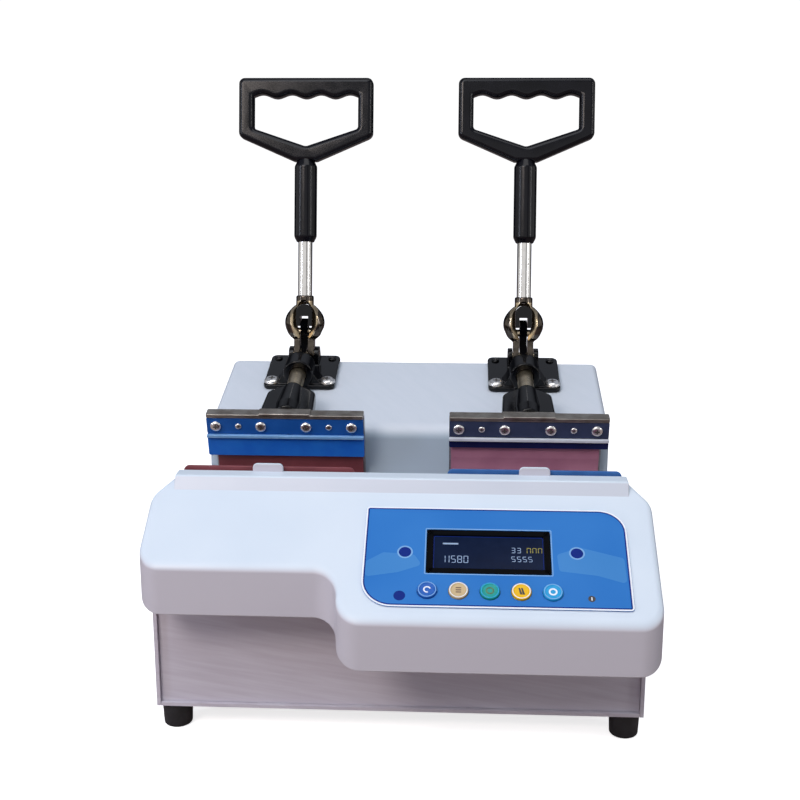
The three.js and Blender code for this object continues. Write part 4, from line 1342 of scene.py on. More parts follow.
@dataclass(frozen=True)
class Digits:
    """A row of seven-bar digits on the display, with the bars a to g that are lit in each."""

    x: float
    y: float
    pitch: float
    width: float
    height: float
    lit: tuple[str, ...]
    bar: float = 0.16

    def bars(self) -> list[Corner]:
        """The lit bars as rectangles (u0, u1, v0, v1).

        Returns:
            One tuple for each lit bar.
        """
        t, found = self.width * self.bar, []
        for i, lit in enumerate(self.lit):
            x, y = self.x + self.pitch * i, self.y
            right, top, mid = x + self.width, y + self.height, y + self.height / 2
            bars = {
                "a": (x + t, right - t, top - t, top),
                "g": (x + t, right - t, mid - t / 2, mid + t / 2),
                "d": (x + t, right - t, y, y + t),
                "f": (x, x + t, mid + t / 2, top - t / 2),
                "b": (right - t, right, mid + t / 2, top - t / 2),
                "e": (x, x + t, y + t / 2, mid - t / 2),
                "c": (right - t, right, y + t / 2, mid - t / 2),
            }
            found += [bars[key] for key in lit]
        return found


@dataclass
class ControlPanel(Assembly):
    """Printed film, display, five push buttons and the lamps' windows, in the frame of the slope."""

    left: float = -21.0
    right: float = 149.0
    top: float = 12.8
    bottom: float = 92.3
    film: float = 0.6
    small_round: float = 2.5
    top_round: float = 18.0
    bottom_round: float = 20.0
    boss_inset: float = 10.0
    ink: float = 0.05
    display: tuple[float, float, float, float] = (19.8, 99.0, 31.5, 66.0)
    display_proud: float = 0.5
    display_frame: float = 4.0
    display_side: float = 3.0
    display_depth: float = 7.0
    recess: float = 1.0
    button_first: float = 20.9
    button_pitch: float = 19.6
    button_down: float = 79.8
    button_radius: float = 6.2
    button_flange: float = 7.4
    button_proud: float = 1.6
    flange_thick: float = 1.2
    # Where the cap's dish starts and its flat bottom ends, as shares of the radius, and its two depths
    dish_rim: float = 0.78
    dish: Place = (0.70, 0.35, 0.45)
    looks: tuple[ButtonLook, ...] = (
        ButtonLook(Palette.button_blue, Palette.print_grey, Palette.print_white, Mark.SWIRL, "button_blue"),
        ButtonLook(Palette.button_tan, Palette.print_white, Palette.print_brown, Mark.BARS, "button_tan"),
        ButtonLook(Palette.button_green, Palette.button_cyan, Palette.board, Mark.RING, "button_green"),
        ButtonLook(Palette.button_yellow, Palette.print_white, Palette.recess, Mark.SLASH, "button_yellow"),
        ButtonLook(Palette.button_cyan, Palette.print_grey, Palette.print_white, Mark.RING, "button_cyan"),
    )
    # Outlines of the pale swooshes, and lamps as X, distance down the slope, radius and whether ringed
    swooshes: tuple[tuple[Point, ...], ...] = (
        ((-19, -58), (-8, -50.5), (12, -52), (17, -60), (2, -66), (-19, -70)),
        ((103, -50), (118, -44), (145.5, -52), (146, -72), (128, -66), (104, -63)),
    )
    lamps: tuple[tuple[float, float, float, bool], ...] = (
        (5.9, 50.0, 4.0, True), (115.8, 48.7, 4.0, True), (3.7, 84.0, 3.7, False),
    )
    sensor: Place = (123.1, -83.7, 2.3)
    sensor_slit: Corner = (122.75, 123.45, -85.0, -82.4, 0.3)
    caption: Corner = (30.0, 40.0, -42.4, -41.2, 0.4)
    texts: tuple[tuple, ...] = (
        ("display_time", Palette.letters,
         Digits(31.5, -57.0, 4.0, 3.0, 5.6, ("bcef", "acdfg", "abcdefg", "abcdef"))),
        ("display_heat", Palette.letters, Digits(74.0, -48.5, 3.6, 2.6, 4.2, ("abcdg",) * 2),
         Digits(74.0, -55.5, 3.6, 2.6, 4.2, ("acdfg",) * 4)),
        ("display_unit", Palette.letters_warm, Digits(84.0, -48.5, 3.6, 2.6, 4.2, ("abcef",) * 3)),
    )

    @property
    def face(self) -> float:
        """Height of the film's upper face above the slope."""
        return MACHINE.gap + self.film

    def lay(
        self, name: str, shape: Mesh | Object, finish: Finish, slot: str = "panel_film", node: str = ""
    ) -> None:
        """Places one of the panel's pieces on the slope."""
        self.shop.piece(name, shape, MACHINE.panel(), finish, slot, node=node)

    def boss_spots(self) -> list[Point]:
        """Where the circuit board is screwed on, as X and distance down the slope.

        Returns:
            The four spots.
        """
        inside = self.boss_inset
        rows = (self.top + inside, self.bottom - inside)
        return [(x, down) for x in (self.left + inside, self.right - inside) for down in rows]

    def outline(self, inward: float = 0.0) -> Outline:
        """The film's outline, two corners large and two small.

        Args:
            inward: How far inside the film's edge.

        Returns:
            The outline.
        """
        corners = [
            (self.left, -self.top, self.small_round), (self.left, -self.bottom, self.bottom_round),
            (self.right, -self.bottom, self.small_round), (self.right, -self.top, self.top_round),
        ]
        return inset(rounded(corners, steps=12), inward)

    def window(self, grow: float) -> Outline:
        """The display's opening."""
        left, right, top, bottom = self.display
        return rectangle(left - grow, right + grow, -bottom - grow, -top + grow, 1.0, 3)

    def cuts(self, low: float) -> list[Mesh]:
        """Cutters for the display and the buttons, from a height up.

        Args:
            low: The height of their lower faces.

        Returns:
            The closed meshes, the display's first.
        """
        gap, r = MACHINE.gap, self.button_radius
        holes = [self.window(gap)]
        for i in range(len(self.looks)):
            holes.append(circle(r + gap, 40, self.button_first + i * self.button_pitch, -self.button_down))
        return [slab(hole, low, MACHINE.cut) for hole in holes]

    def openings(self) -> list[Mesh]:
        """What is cut out of the console's skin for the display and the buttons."""
        return [moved(cut, MACHINE.panel()) for cut in self.cuts(-MACHINE.wall - MACHINE.cut)]

    def ring(self, outer: Outline, width: float, low: float, high: float) -> Mesh:
        """A thin band that follows an outline on its inner side.

        Args:
            outer: The outline.
            width: Width of the band.
            low: Height of its lower face.
            high: Height of its upper face.

        Returns:
            The closed mesh.
        """
        inner = inset(outer, width)
        rows = ((outer, low), (outer, high), (inner, high), (inner, low))
        return loft([lifted(line, z) for line, z in rows], closed=True)

    def build(self) -> None:
        """Places everything on the console's slope."""
        sheet = scratch(slab(self.outline(), MACHINE.gap, self.face, bevel=0.12, steps=2))
        combine(sheet, Work.CUT, *self.cuts(-1))
        self.lay("overlay_film", sheet, Palette.film, node="control_overlay")
        self.prints()
        self.windows()
        self.screen()
        for i, look in enumerate(self.looks):
            self.button(i, look)

    def prints(self) -> None:
        """Outlines and pale swooshes printed on the film."""
        low, high = self.face - self.ink, self.face + 0.04
        self.lay("overlay_rim_white", self.ring(self.outline(0.1), 1.1, low, high), Palette.print_white)
        self.lay("overlay_rim_navy", self.ring(self.outline(1.2), 0.9, low, high), Palette.print_navy)
        for i, corners in enumerate(self.swooshes):
            shape = rounded([(x, y, 2.5) for x, y in corners], 8)
            self.lay(f"overlay_swoosh_{i + 1}", slab(shape, low, self.face + 0.015), Palette.film_light)

    def windows(self) -> None:
        """Round windows over the lamps, two of them ringed, and a small sensor hole."""
        low, high = self.face - self.ink, self.face + self.ink
        for i, (x, down, radius, ringed) in enumerate(self.lamps):
            disc = slab(circle(radius, 40, x, -down), low, high, bevel=0.03, steps=1)
            self.lay(f"lamp_window_{i + 1}", disc, Palette.print_navy)
            if ringed:
                band = self.ring(circle(radius + 1.0, 48, x, -down), 1.0, low, high + 0.02)
                self.lay(f"lamp_ring_{i + 1}", band, Palette.print_grey)
        x, y, radius = self.sensor
        # The sensor hole is a flat disc of painted shade
        self.lay("sensor_hole", slab(circle(radius, 32, x, y), low, high), Palette.recess)
        self.lay("sensor_slit", slab(rectangle(*self.sensor_slit), low, high + 0.03), Palette.print_white)

    def screen(self) -> None:
        """The display: bright line round it, black frame, sunk glass, and faint characters."""
        slot, wall, side = "display_glass", MACHINE.wall, self.display_side
        left, right, top, bottom = self.display
        proud = MACHINE.gap + self.display_proud
        sunk, behind = proud - self.recess, -wall - MACHINE.gap
        line = self.ring(self.window(1.2), 0.7, self.face - self.ink, self.face + self.ink)
        self.lay("display_outline", line, Palette.print_grey)
        frame = self.ring(self.window(0), self.display_frame, -wall, proud)
        self.lay("display_frame", frame, Palette.bezel, slot)
        low = (left - side, -bottom - side, behind - self.display_depth)
        body = box(low, (right + side, -top + side, behind), bevel=0.4)
        self.lay("display_body", body, Palette.bezel, slot, "lcd_module")
        pane = slab(self.window(0.2 - self.display_frame), -wall, sunk)
        self.lay("display_pane", pane, Palette.glass, slot)
        inner = self.ring(self.window(-self.display_frame - 0.4), 0.35, sunk - self.ink, sunk + 0.03)
        self.lay("display_inner_line", inner, Palette.print_navy, slot)
        low, high = sunk - 0.03, sunk + 0.03
        for name, finish, *rows in self.texts:
            bars = [bar for row in rows for bar in row.bars()]
            shapes = [box((u0, v0, low), (u1, v1, high)) for u0, u1, v0, v1 in bars]
            self.lay(name, merged(shapes), finish, slot)
        self.lay("display_caption", slab(rectangle(*self.caption), low, high), Palette.letters, slot)

    def button(self, i: int, look: ButtonLook) -> None:
        """One push button: cap, coloured rim and mark.

        Args:
            i: Its number from the left, from 0.
            look: Its colours and mark.
        """
        name, body = f"button_{i + 1}", f"button_{i + 1}"
        place = MACHINE.panel() @ shift(self.button_first + i * self.button_pitch, -self.button_down, 0)
        top, foot = self.face + self.button_proud, -MACHINE.wall - MACHINE.gap
        r, wide = self.button_radius, self.button_flange
        base, rim, (flat, shallow, deep) = foot - self.flange_thick, r * self.dish_rim, self.dish
        profile = [
            (0, base), (wide, base, 0.2), (wide, foot, 0.2), (r, foot), (r, top, 0.7),
            (rim, top), (r * flat, top - shallow, 0.3), (0, top - deep),
        ]
        piece = self.shop.piece
        piece(f"{name}_cap", lathe(profile, sides=56), place, look.cap, look.slot, body, f"panel_{name}")
        hoop = self.ring(circle(r * 0.92, 48), r * 0.09, top - 0.1, top + 0.02)
        piece(f"{name}_rim", hoop, place, look.rim, look.slot, body)
        for k, shape in enumerate(self.mark(look.sign, r * 0.4, top - 0.55, top - 0.36)):
            piece(f"{name}_mark_{k + 1}", shape, place, look.mark, look.slot, body)

    def mark(self, sign: Mark, size: float, low: float, high: float) -> list[Mesh]:
        """The sign on a button.

        Args:
            sign: Which one.
            size: About half its width.
            low: Height of its lower face.
            high: Height of its upper face.

        Returns:
            Its parts.
        """
        if sign is Mark.SWIRL:
            turns = [math.radians(a) for a in range(20, 300, 14)]
            outer = [Vector((size * math.cos(a), size * math.sin(a))) for a in turns]
            shapes = [outer + [p * 0.62 for p in reversed(outer)]]
        elif sign is Mark.RING:
            return [self.ring(circle(size * 1.1, 32), size * 0.45, low, high)]
        elif sign is Mark.BARS:
            half = size * 0.7
            shapes = [rectangle(-half, half, v * size, (v + 0.28) * size) for v in (-0.75, -0.1, 0.55)]
        else:
            strokes = (
                ((-0.75, 1), (-0.35, -1), (0.25, -1), (-0.35, 1)),
                ((-0.1, 1), (0.3, -1), (0.9, -1), (0.3, 1)),
            )
            shapes = [[Vector((x * size, y * size)) for x, y in stroke] for stroke in strokes]
        return [slab(shape, low, high) for shape in shapes]


@dataclass
class Housing(Assembly):
    """Wedge-shaped housing behind the jaws, folded from one sheet with rounded bends."""

    width: float = 306.0
    front: float = 33.0
    rear: float = 150.0
    bend: float = 12.0
    rear_round: float = 7.0
    side_round: float = 5.0

    def section(self, inward: float, bottom: float) -> Outline:
        """The housing seen from the side.

        Args:
            inward: How far inside the sheet's outer face.
            bottom: Height of the lower edge.

        Returns:
            The (y, z) outline.
        """
        slope, front, rear = MACHINE.housing_slope, self.front + inward, self.rear - inward
        drop, rise = inward / math.cos(slope), inward * math.tan(slope)
        top = MACHINE.housing_top
        front_top = top - (self.rear - self.front) * math.tan(slope)
        corners = [
            (front, bottom), (rear, bottom), (rear, top - drop - rise, self.rear_round - inward),
            (front, front_top - drop + rise, self.bend - inward),
        ]
        return rounded(corners, steps=12)

    def build(self) -> None:
        """Makes the hollow housing."""
        half, wall, past = self.width / 2, MACHINE.wall, self.side_round
        seat, below = MACHINE.deck + MACHINE.gap, MACHINE.deck - 2 * self.side_round
        body = scratch(moved(slab(self.section(0, below), -half, half, self.side_round, steps=8), ALONG_X))
        inside = moved(slab(self.section(wall, below - 2), wall - half, half - wall), ALONG_X)
        under = box((-half - past, self.front - past, below - past), (half + past, self.rear + past, seat))
        combine(body, Work.CUT, inside, under)
        self.shop.piece("housing_skin", body, UNMOVED, Palette.housing, "white_abs", node="rear_housing")


@dataclass
class ToggleDrive(Station):
    """Bracket, plunger and press shoe of one station, in the frame of the housing's slope."""

    plate_half: float = 29.0
    plate_front: float = -60.5
    plate_rear: float = -3.0
    plate_low: float = 0.3
    plate_top: float = 4.3
    plate_corner: float = 5.0
    plate_bevel: float = 1.1
    axis: float = 14.0
    sleeve_radius: float = 12.0
    sleeve_rear: float = -35.5
    sleeve_taper: Point = (7.2, 5.2)
    web_half: Point = (19.0, 11.6)
    web_inset: Point = (6.0, 3.0)
    ear_middle: float = -15.0
    ear_half: float = 12.6
    ear_foot_half: float = 9.0
    ear_top_half: float = 5.6
    ear_top: float = 16.8
    ear_round: float = 5.0
    ear_gap: float = 8.8
    ear_gap_front: float = 10.0
    ear_gap_rear: float = 2.0
    ear_gap_top: float = 30.0
    # Two corners of the cut that keeps the foot's lower face flat
    past_foot: tuple[Place, Point] = ((-40, -70, -5), (40, 5))
    weld_low: float = 2.0
    pivot_height: float = 11.0
    bore: float = 6.6
    mouth: float = 1.6
    # Where the cutters of the bore and of the pin's hole start and end
    bore_cut: Point = (-2.0, 40.0)
    pin_cut: Point = (-30.0, 30.0)
    screw_x: float = 22.5
    screw_inset: float = 8.0
    washer: Corner = (2.0, 6.45, 0.5)
    plunger_radius: float = 6.25
    plunger_rear: float = -30.0
    plunger_front: float = -96.0
    plunger_slot: tuple[Place, Place] = ((-3.3, -38, 14.5), (3.3, -29, 22))
    shoe_front: float = -131.95
    shoe_rear: float = -89.0
    shoe_half: float = 20.4
    shoe_rear_half: float = 18.9
    shoe_shoulder: float = 34.0
    shoe_neck: float = 8.3
    shoe_low: float = 6.6
    shoe_top: float = 19.4
    shoe_bevel: float = 3.4
    # Corner rounds at its face, its shoulders and its neck
    shoe_rounds: Place = (2.4, 8.0, 3.0)
    shoe_boss: tuple[Corner, ...] = ((9.5, 0, 1.6), (10.2, 12, 8))
    shoe_socket: float = 7.3

    def build(self) -> None:
        """Makes the station's drive."""
        self.bracket()
        self.screws()
        self.plunger()
        self.shoe()
        self.shop.dress(Palette.enamel, 0.3, f"slotted_link_{self.label}")
        self.shop.dress(Palette.plunger, 0.4, f"pivot_pin_{self.label}")
        self.shop.dress(Palette.plunger, 0.3, f"crank_pin_{self.label}")

    def along(self, y: float) -> tuple[Matrix, Matrix]:
        """Lays a turned piece along the plunger's axis, from a place on it."""
        return shift(0, y, self.axis), TURN_TO_Y

    def bracket(self) -> None:
        """The casting: flat foot, bored sleeve, web and the two ears, melted together."""
        half, front, rear, low = self.plate_half, self.plate_front, self.plate_rear, self.plate_low
        flat = rectangle(-half, half, front, rear, self.plate_corner)
        foot = slab(flat, low, self.plate_top, self.plate_bevel)
        length, r = self.sleeve_rear - front, self.sleeve_radius
        end, taper = self.sleeve_taper
        profile = [(0, 0), (r, 0, 1.2), (r, length - taper, 7.0), (end, length, 0.8), (0, length)]
        sleeve = moved(lathe(profile, sides=80, steps=8), *self.along(front))
        wide, narrow = self.web_half
        corners = [(-wide, self.weld_low), (wide, self.weld_low), (narrow, self.axis), (-narrow, self.axis)]
        back, ahead = self.web_inset
        web = slab(rounded(corners), back - self.sleeve_rear, -front - ahead)
        y, wide, narrow = self.ear_middle, self.ear_foot_half, self.ear_top_half
        corners = [
            (y - wide, self.weld_low), (y + wide, self.weld_low),
            (y + narrow, self.ear_top, self.ear_round), (y - narrow, self.ear_top, self.ear_round),
        ]
        ears = slab(rounded(corners), -self.ear_half, self.ear_half)
        body = cast([foot, sleeve, moved(web, ALONG_Y), moved(ears, ALONG_X)], voxel=0.45, smoothing=6)
        bore, mouth, gap = self.bore, self.bore + self.mouth, self.ear_gap
        low_end, high_end = self.past_foot
        combine(
            body,
            Work.CUT,
            moved(rod(bore, *self.bore_cut), *self.along(front)),
            moved(turned([(0, -1), (mouth, -1), (bore, 0.7), (0, 0.7)]), *self.along(front)),
            box((-gap, y - self.ear_gap_front, self.plate_top), (gap, self.ear_gap_rear, self.ear_gap_top)),
            moved(rod(MACHINE.pin_bore, *self.pin_cut, 40), shift(0, y, self.pivot_height), TURN_TO_X),
            box(low_end, (*high_end, low)),
        )
        self.add("bracket_casting", body, Palette.enamel, "black_enamel", node="toggle_bracket", crease=50)

    def screws(self) -> None:
        """Two large screws with washers in front, and two small black ones behind."""
        front, rear = ScrewHead(5.9, 3.0, 0.45), ScrewHead(3.2, 1.8)
        inner, outer, thick = self.washer
        for k, x in enumerate((-self.screw_x, self.screw_x)):
            end = f"{self.label}_{k + 1}"
            spot = self.place @ shift(x, self.plate_front + self.screw_inset, self.plate_top)
            front.build(self.shop, f"bracket_screw_{end}", spot, "chrome")
            washer = turned([(inner, 0), (outer, 0), (outer, thick), (inner, thick)], sides=40)
            self.shop.piece(f"bracket_washer_{end}", washer, spot, Palette.screw, "chrome")
            back = self.place @ shift(x, self.plate_rear - self.screw_inset, self.plate_top)
            rear.build(self.shop, f"bracket_rear_screw_{end}", back, "black_enamel", Palette.enamel)

    def plunger(self) -> None:
        """Turned bar that slides in the sleeve."""
        length, r = self.plunger_rear - self.plunger_front, self.plunger_radius
        bar = lathe([(0, 0), (r, 0, 0.5), (r, length, 0.7), (0, length)], sides=72)
        body = scratch(moved(bar, *self.along(self.plunger_front)))
        combine(body, Work.CUT, box(*self.plunger_slot))
        self.add("plunger_bar", body, Palette.plunger, "turned_steel", "jaw", "plunger")

    def shoe(self) -> None:
        """Bell-shaped casting that spreads the push over the jaw's top plate."""
        front, rear, neck = self.shoe_front, self.shoe_rear, self.shoe_neck
        length, shoulder = rear - front, front + self.shoe_shoulder
        boss = lathe([(0, 0), *self.shoe_boss, (neck, length, 1.4), (0, length)], sides=80, steps=6)
        half, narrow = self.shoe_half, self.shoe_rear_half
        low_round, wide_round, neck_round = self.shoe_rounds
        corners = [
            (-half, front, low_round), (half, front, low_round), (narrow, shoulder, wide_round),
            (neck, rear, neck_round), (-neck, rear, neck_round), (-narrow, shoulder, wide_round),
        ]
        wings = slab(rounded(corners), self.shoe_low, self.shoe_top, self.shoe_bevel, steps=6)
        body = cast([moved(boss, *self.along(front)), wings], voxel=0.4, smoothing=8)
        socket = rod(self.plunger_radius + MACHINE.gap, -self.shoe_socket, MACHINE.cut, sides=56)
        combine(body, Work.CUT, moved(socket, *self.along(rear)))
        self.add("press_shoe_casting", body, Palette.enamel, "black_enamel", "jaw", "press_shoe", crease=50)


@dataclass
class Jaws(Station):
    """Rear jaw with its strips, and fixed front jaw, of one station."""

    half: float = 59.2
    strip_half: float = 59.0
    mug: float = 41.0
    mat: float = 3.0
    shell: float = 2.0
    mat_inset: float = 1.5
    outboard_short: float = 4.5
    axis_y: float = -35.0
    axis_z: float = 142.0
    arc_steps: int = 48
    rear_centre: Point = (-177.601, -23.307)
    rear_low: float = -75.0
    rear_top: float = 12.0
    flange_top: float = 17.3
    front_low: float = 50.0
    front_top: float = 45.0
    front_mat_top: float = 44.0
    rim_top: float = 181.0
    rim_round: float = 4.0
    strip_front: float = -141.0
    strip_back: float = -137.8
    strip_low: float = 4.2
    strip_top: float = 17.3
    plate_front: float = -141.6
    plate_rear: float = -132.3
    plate_low: float = 17.6
    plate_top: float = 20.6
    pad_half: float = 19.5
    pad_low: float = 18.0
    pad_top: float = 21.6
    band_low_left: float = -14.7
    band_low_right: float = -5.2
    lip_low: float = 1.3
    lip_top: float = 3.9
    lip_front: float = -143.2
    lip_sunk: float = 0.4
    screw_height: float = 10.75
    large_screws: tuple[float, ...] = (-52.0, -18.0, 16.0, 50.0)
    small_screws: tuple[float, ...] = (-35.0, 33.0)

    @property
    def enamel_slot(self) -> str:
        """The slot of the station's enamelled pieces."""
        return "blue_enamel" if self.left else "navy_enamel"

    @property
    def enamels(self) -> tuple[Finish, Finish, Finish]:
        """The finishes of the station's screw strip, band and lip.

        Returns:
            The three finishes.
        """
        if self.left:
            # The left band's blue is lighter than its strip's by painted light
            return Palette.blue, Palette.band_blue_painted_light, Palette.lip_blue
        return Palette.navy, Palette.band_navy, Palette.lip_white

    @property
    def mat_finish(self) -> Finish:
        """The finish of the station's mats."""
        # The left mat's finish is darkened with painted shade
        return Palette.mat_left if self.left else Palette.mat_right

    def arc(self, centre: Point, r0: float, r1: float, low: float, high: float) -> Outline:
        """Points round a ring segment.

        Args:
            centre: Its centre as (y, z).
            r0: Inner radius.
            r1: Outer radius.
            low: First angle in degrees.
            high: Last angle in degrees.

        Returns:
            The (y, z) outline, its outer side first.
        """
        steps = self.arc_steps
        angles = [math.radians(low + (high - low) * k / steps) for k in range(steps + 1)]
        y, z = centre
        outer = [Vector((y + r1 * math.cos(a), z + r1 * math.sin(a))) for a in angles]
        return outer + [Vector((y + r0 * math.cos(a), z + r0 * math.sin(a))) for a in reversed(angles)]

    def rear_layer(self, r0: float, r1: float) -> Outline:
        """Section of a rear layer: the arc about the mug, and the flange behind the strips.

        Args:
            r0: Inner radius.
            r1: Outer radius.

        Returns:
            The (y, z) outline.
        """
        y, z = self.rear_centre
        top, head = math.radians(self.rear_top), self.flange_top
        outline = self.arc(self.rear_centre, r0, r1, self.rear_low, self.rear_top)
        half, face = len(outline) // 2, y + r0 * math.cos(top)
        back = face + r1 - r0
        flange = [Vector((back, z + r1 * math.sin(top))), Vector((back, head)), Vector((face, head))]
        return outline[:half] + flange + outline[half:]

    def reach(self, half: float) -> Point:
        """Ends of a rear layer along X: short on the machine's outer side."""
        short = half - self.outboard_short
        return (-short, half) if self.left else (-half, short)

    def build(self) -> None:
        """Makes both jaws and the strips."""
        self.plates()
        self.strips()
        self.rear_jaw()
        self.front_jaw()

    def plates(self) -> None:
        """The jaw's top plate, and the thicker pad under the shoe."""
        h, pad, front, rear = self.strip_half, self.pad_half, self.plate_front, self.plate_rear
        plate = slab(rectangle(-h, h, front, rear, 1.2), self.plate_low, self.plate_top, bevel=0.45)
        self.add("top_plate", plate, Palette.plate, "turned_steel", "jaw", "jaw_top_plate")
        thick = slab(rectangle(-pad, pad, front, rear, 1.0), self.pad_low, self.pad_top, bevel=0.6)
        self.add("top_plate_pad", thick, Palette.plate, "turned_steel", "jaw")

    def upright(self, half: float, low: float, high: float, corner: float, bevel: float) -> Mesh:
        """A strip that stands across the jaw's front."""
        strip = slab(rectangle(-half, half, low, high, corner), -self.strip_back, -self.strip_front, bevel)
        return moved(strip, ALONG_Y)

    def strips(self) -> None:
        """Screw strip with its screws, and the band with its proud lip."""
        slot, half, (enamel, band_enamel, lip_enamel) = self.enamel_slot, self.half, self.enamels
        strip = self.upright(self.strip_half, self.strip_low, self.strip_top, corner=1.0, bevel=0.5)
        self.add("screw_strip_face", strip, enamel, slot, "jaw", "screw_strip")
        low = self.band_low_left if self.left else self.band_low_right
        band = self.upright(half, low, self.lip_top, corner=1.3, bevel=0.6)
        self.add("band_face", band, band_enamel, slot, "jaw", "clamp_band")
        edge = rectangle(-half, half, self.lip_low, self.lip_top, 0.9)
        lip = moved(slab(edge, -self.strip_front - self.lip_sunk, -self.lip_front, bevel=0.5), ALONG_Y)
        self.add("band_lip", lip, lip_enamel, slot, "jaw")
        rows = (("large", self.large_screws, ScrewHead(4.1, 2.1, 0.45)),
                ("small", self.small_screws, ScrewHead(2.4, 1.2, 0.45)))
        for kind, spots, head in rows:
            for k, x in enumerate(spots):
                spot = self.place @ shift(x, self.strip_front, self.screw_height) @ TURN_TO_FRONT
                name = f"strip_screw_{kind}_{self.label}_{k + 1}"
                head.build(self.shop, name, spot, "chrome", body=f"jaw_{self.label}")

    def rear_jaw(self) -> None:
        """The moving jaw's mat and shell."""
        inner, outer = self.mug, self.mug + self.mat
        ends = self.reach(self.half - self.mat_inset)
        mat = moved(slab(self.rear_layer(inner, outer), *ends, bevel=0.5, steps=3), ALONG_X)
        self.add("rear_mat_skin", mat, self.mat_finish, "silicone_mat", "jaw", "rear_heat_mat")
        inner = outer + MACHINE.gap
        layer = self.rear_layer(inner, inner + self.shell)
        shell = moved(slab(layer, *self.reach(self.half), bevel=0.3, steps=2), ALONG_X)
        self.add("rear_shell_sheet", shell, Palette.zinc, "turned_steel", "jaw", "rear_jaw_shell")

    def front_jaw(self) -> None:
        """The fixed jaw's mat, and its shell with the rim that stands up behind the console."""
        left, full = self.left, self.half
        place = shift(self.side.value * MACHINE.station_x, 0, 0)
        centre, low = (self.axis_y, self.axis_z), 180 + self.front_low
        half = full - self.mat_inset
        section = self.arc(centre, self.mug, self.mug + self.mat, 180 - self.front_mat_top, low)
        mat = moved(slab(section, -half, half, bevel=0.5, steps=3), ALONG_X)
        self.add("front_mat_skin", mat, self.mat_finish, "silicone_mat", node="front_heat_mat", place=place)
        r0 = self.mug + self.mat + MACHINE.gap
        r1 = r0 + self.shell
        section = self.arc(centre, r0, r1, 180 - self.front_top, low)
        shell = moved(slab(section, -full, full, bevel=0.3, steps=2), ALONG_X)
        colour = Palette.mat_left if left else Palette.navy
        slot = "silicone_mat" if left else "navy_enamel"
        self.add("front_shell_sheet", shell, colour, slot, node="front_jaw_shell", place=place)
        turn = math.radians(self.front_top)
        front, foot = self.axis_y - r1 * math.cos(turn), self.axis_z + r0 * math.sin(turn)
        top, soft = self.rim_top, self.rim_round
        corners = [(-full, foot), (full, foot), (full, top, soft), (-full, top, soft)]
        rim = moved(slab(rounded(corners), -front - self.shell, -front, bevel=0.7), ALONG_Y)
        self.add("front_rim", rim, Palette.mat_left if left else Palette.rim, slot, place=place)


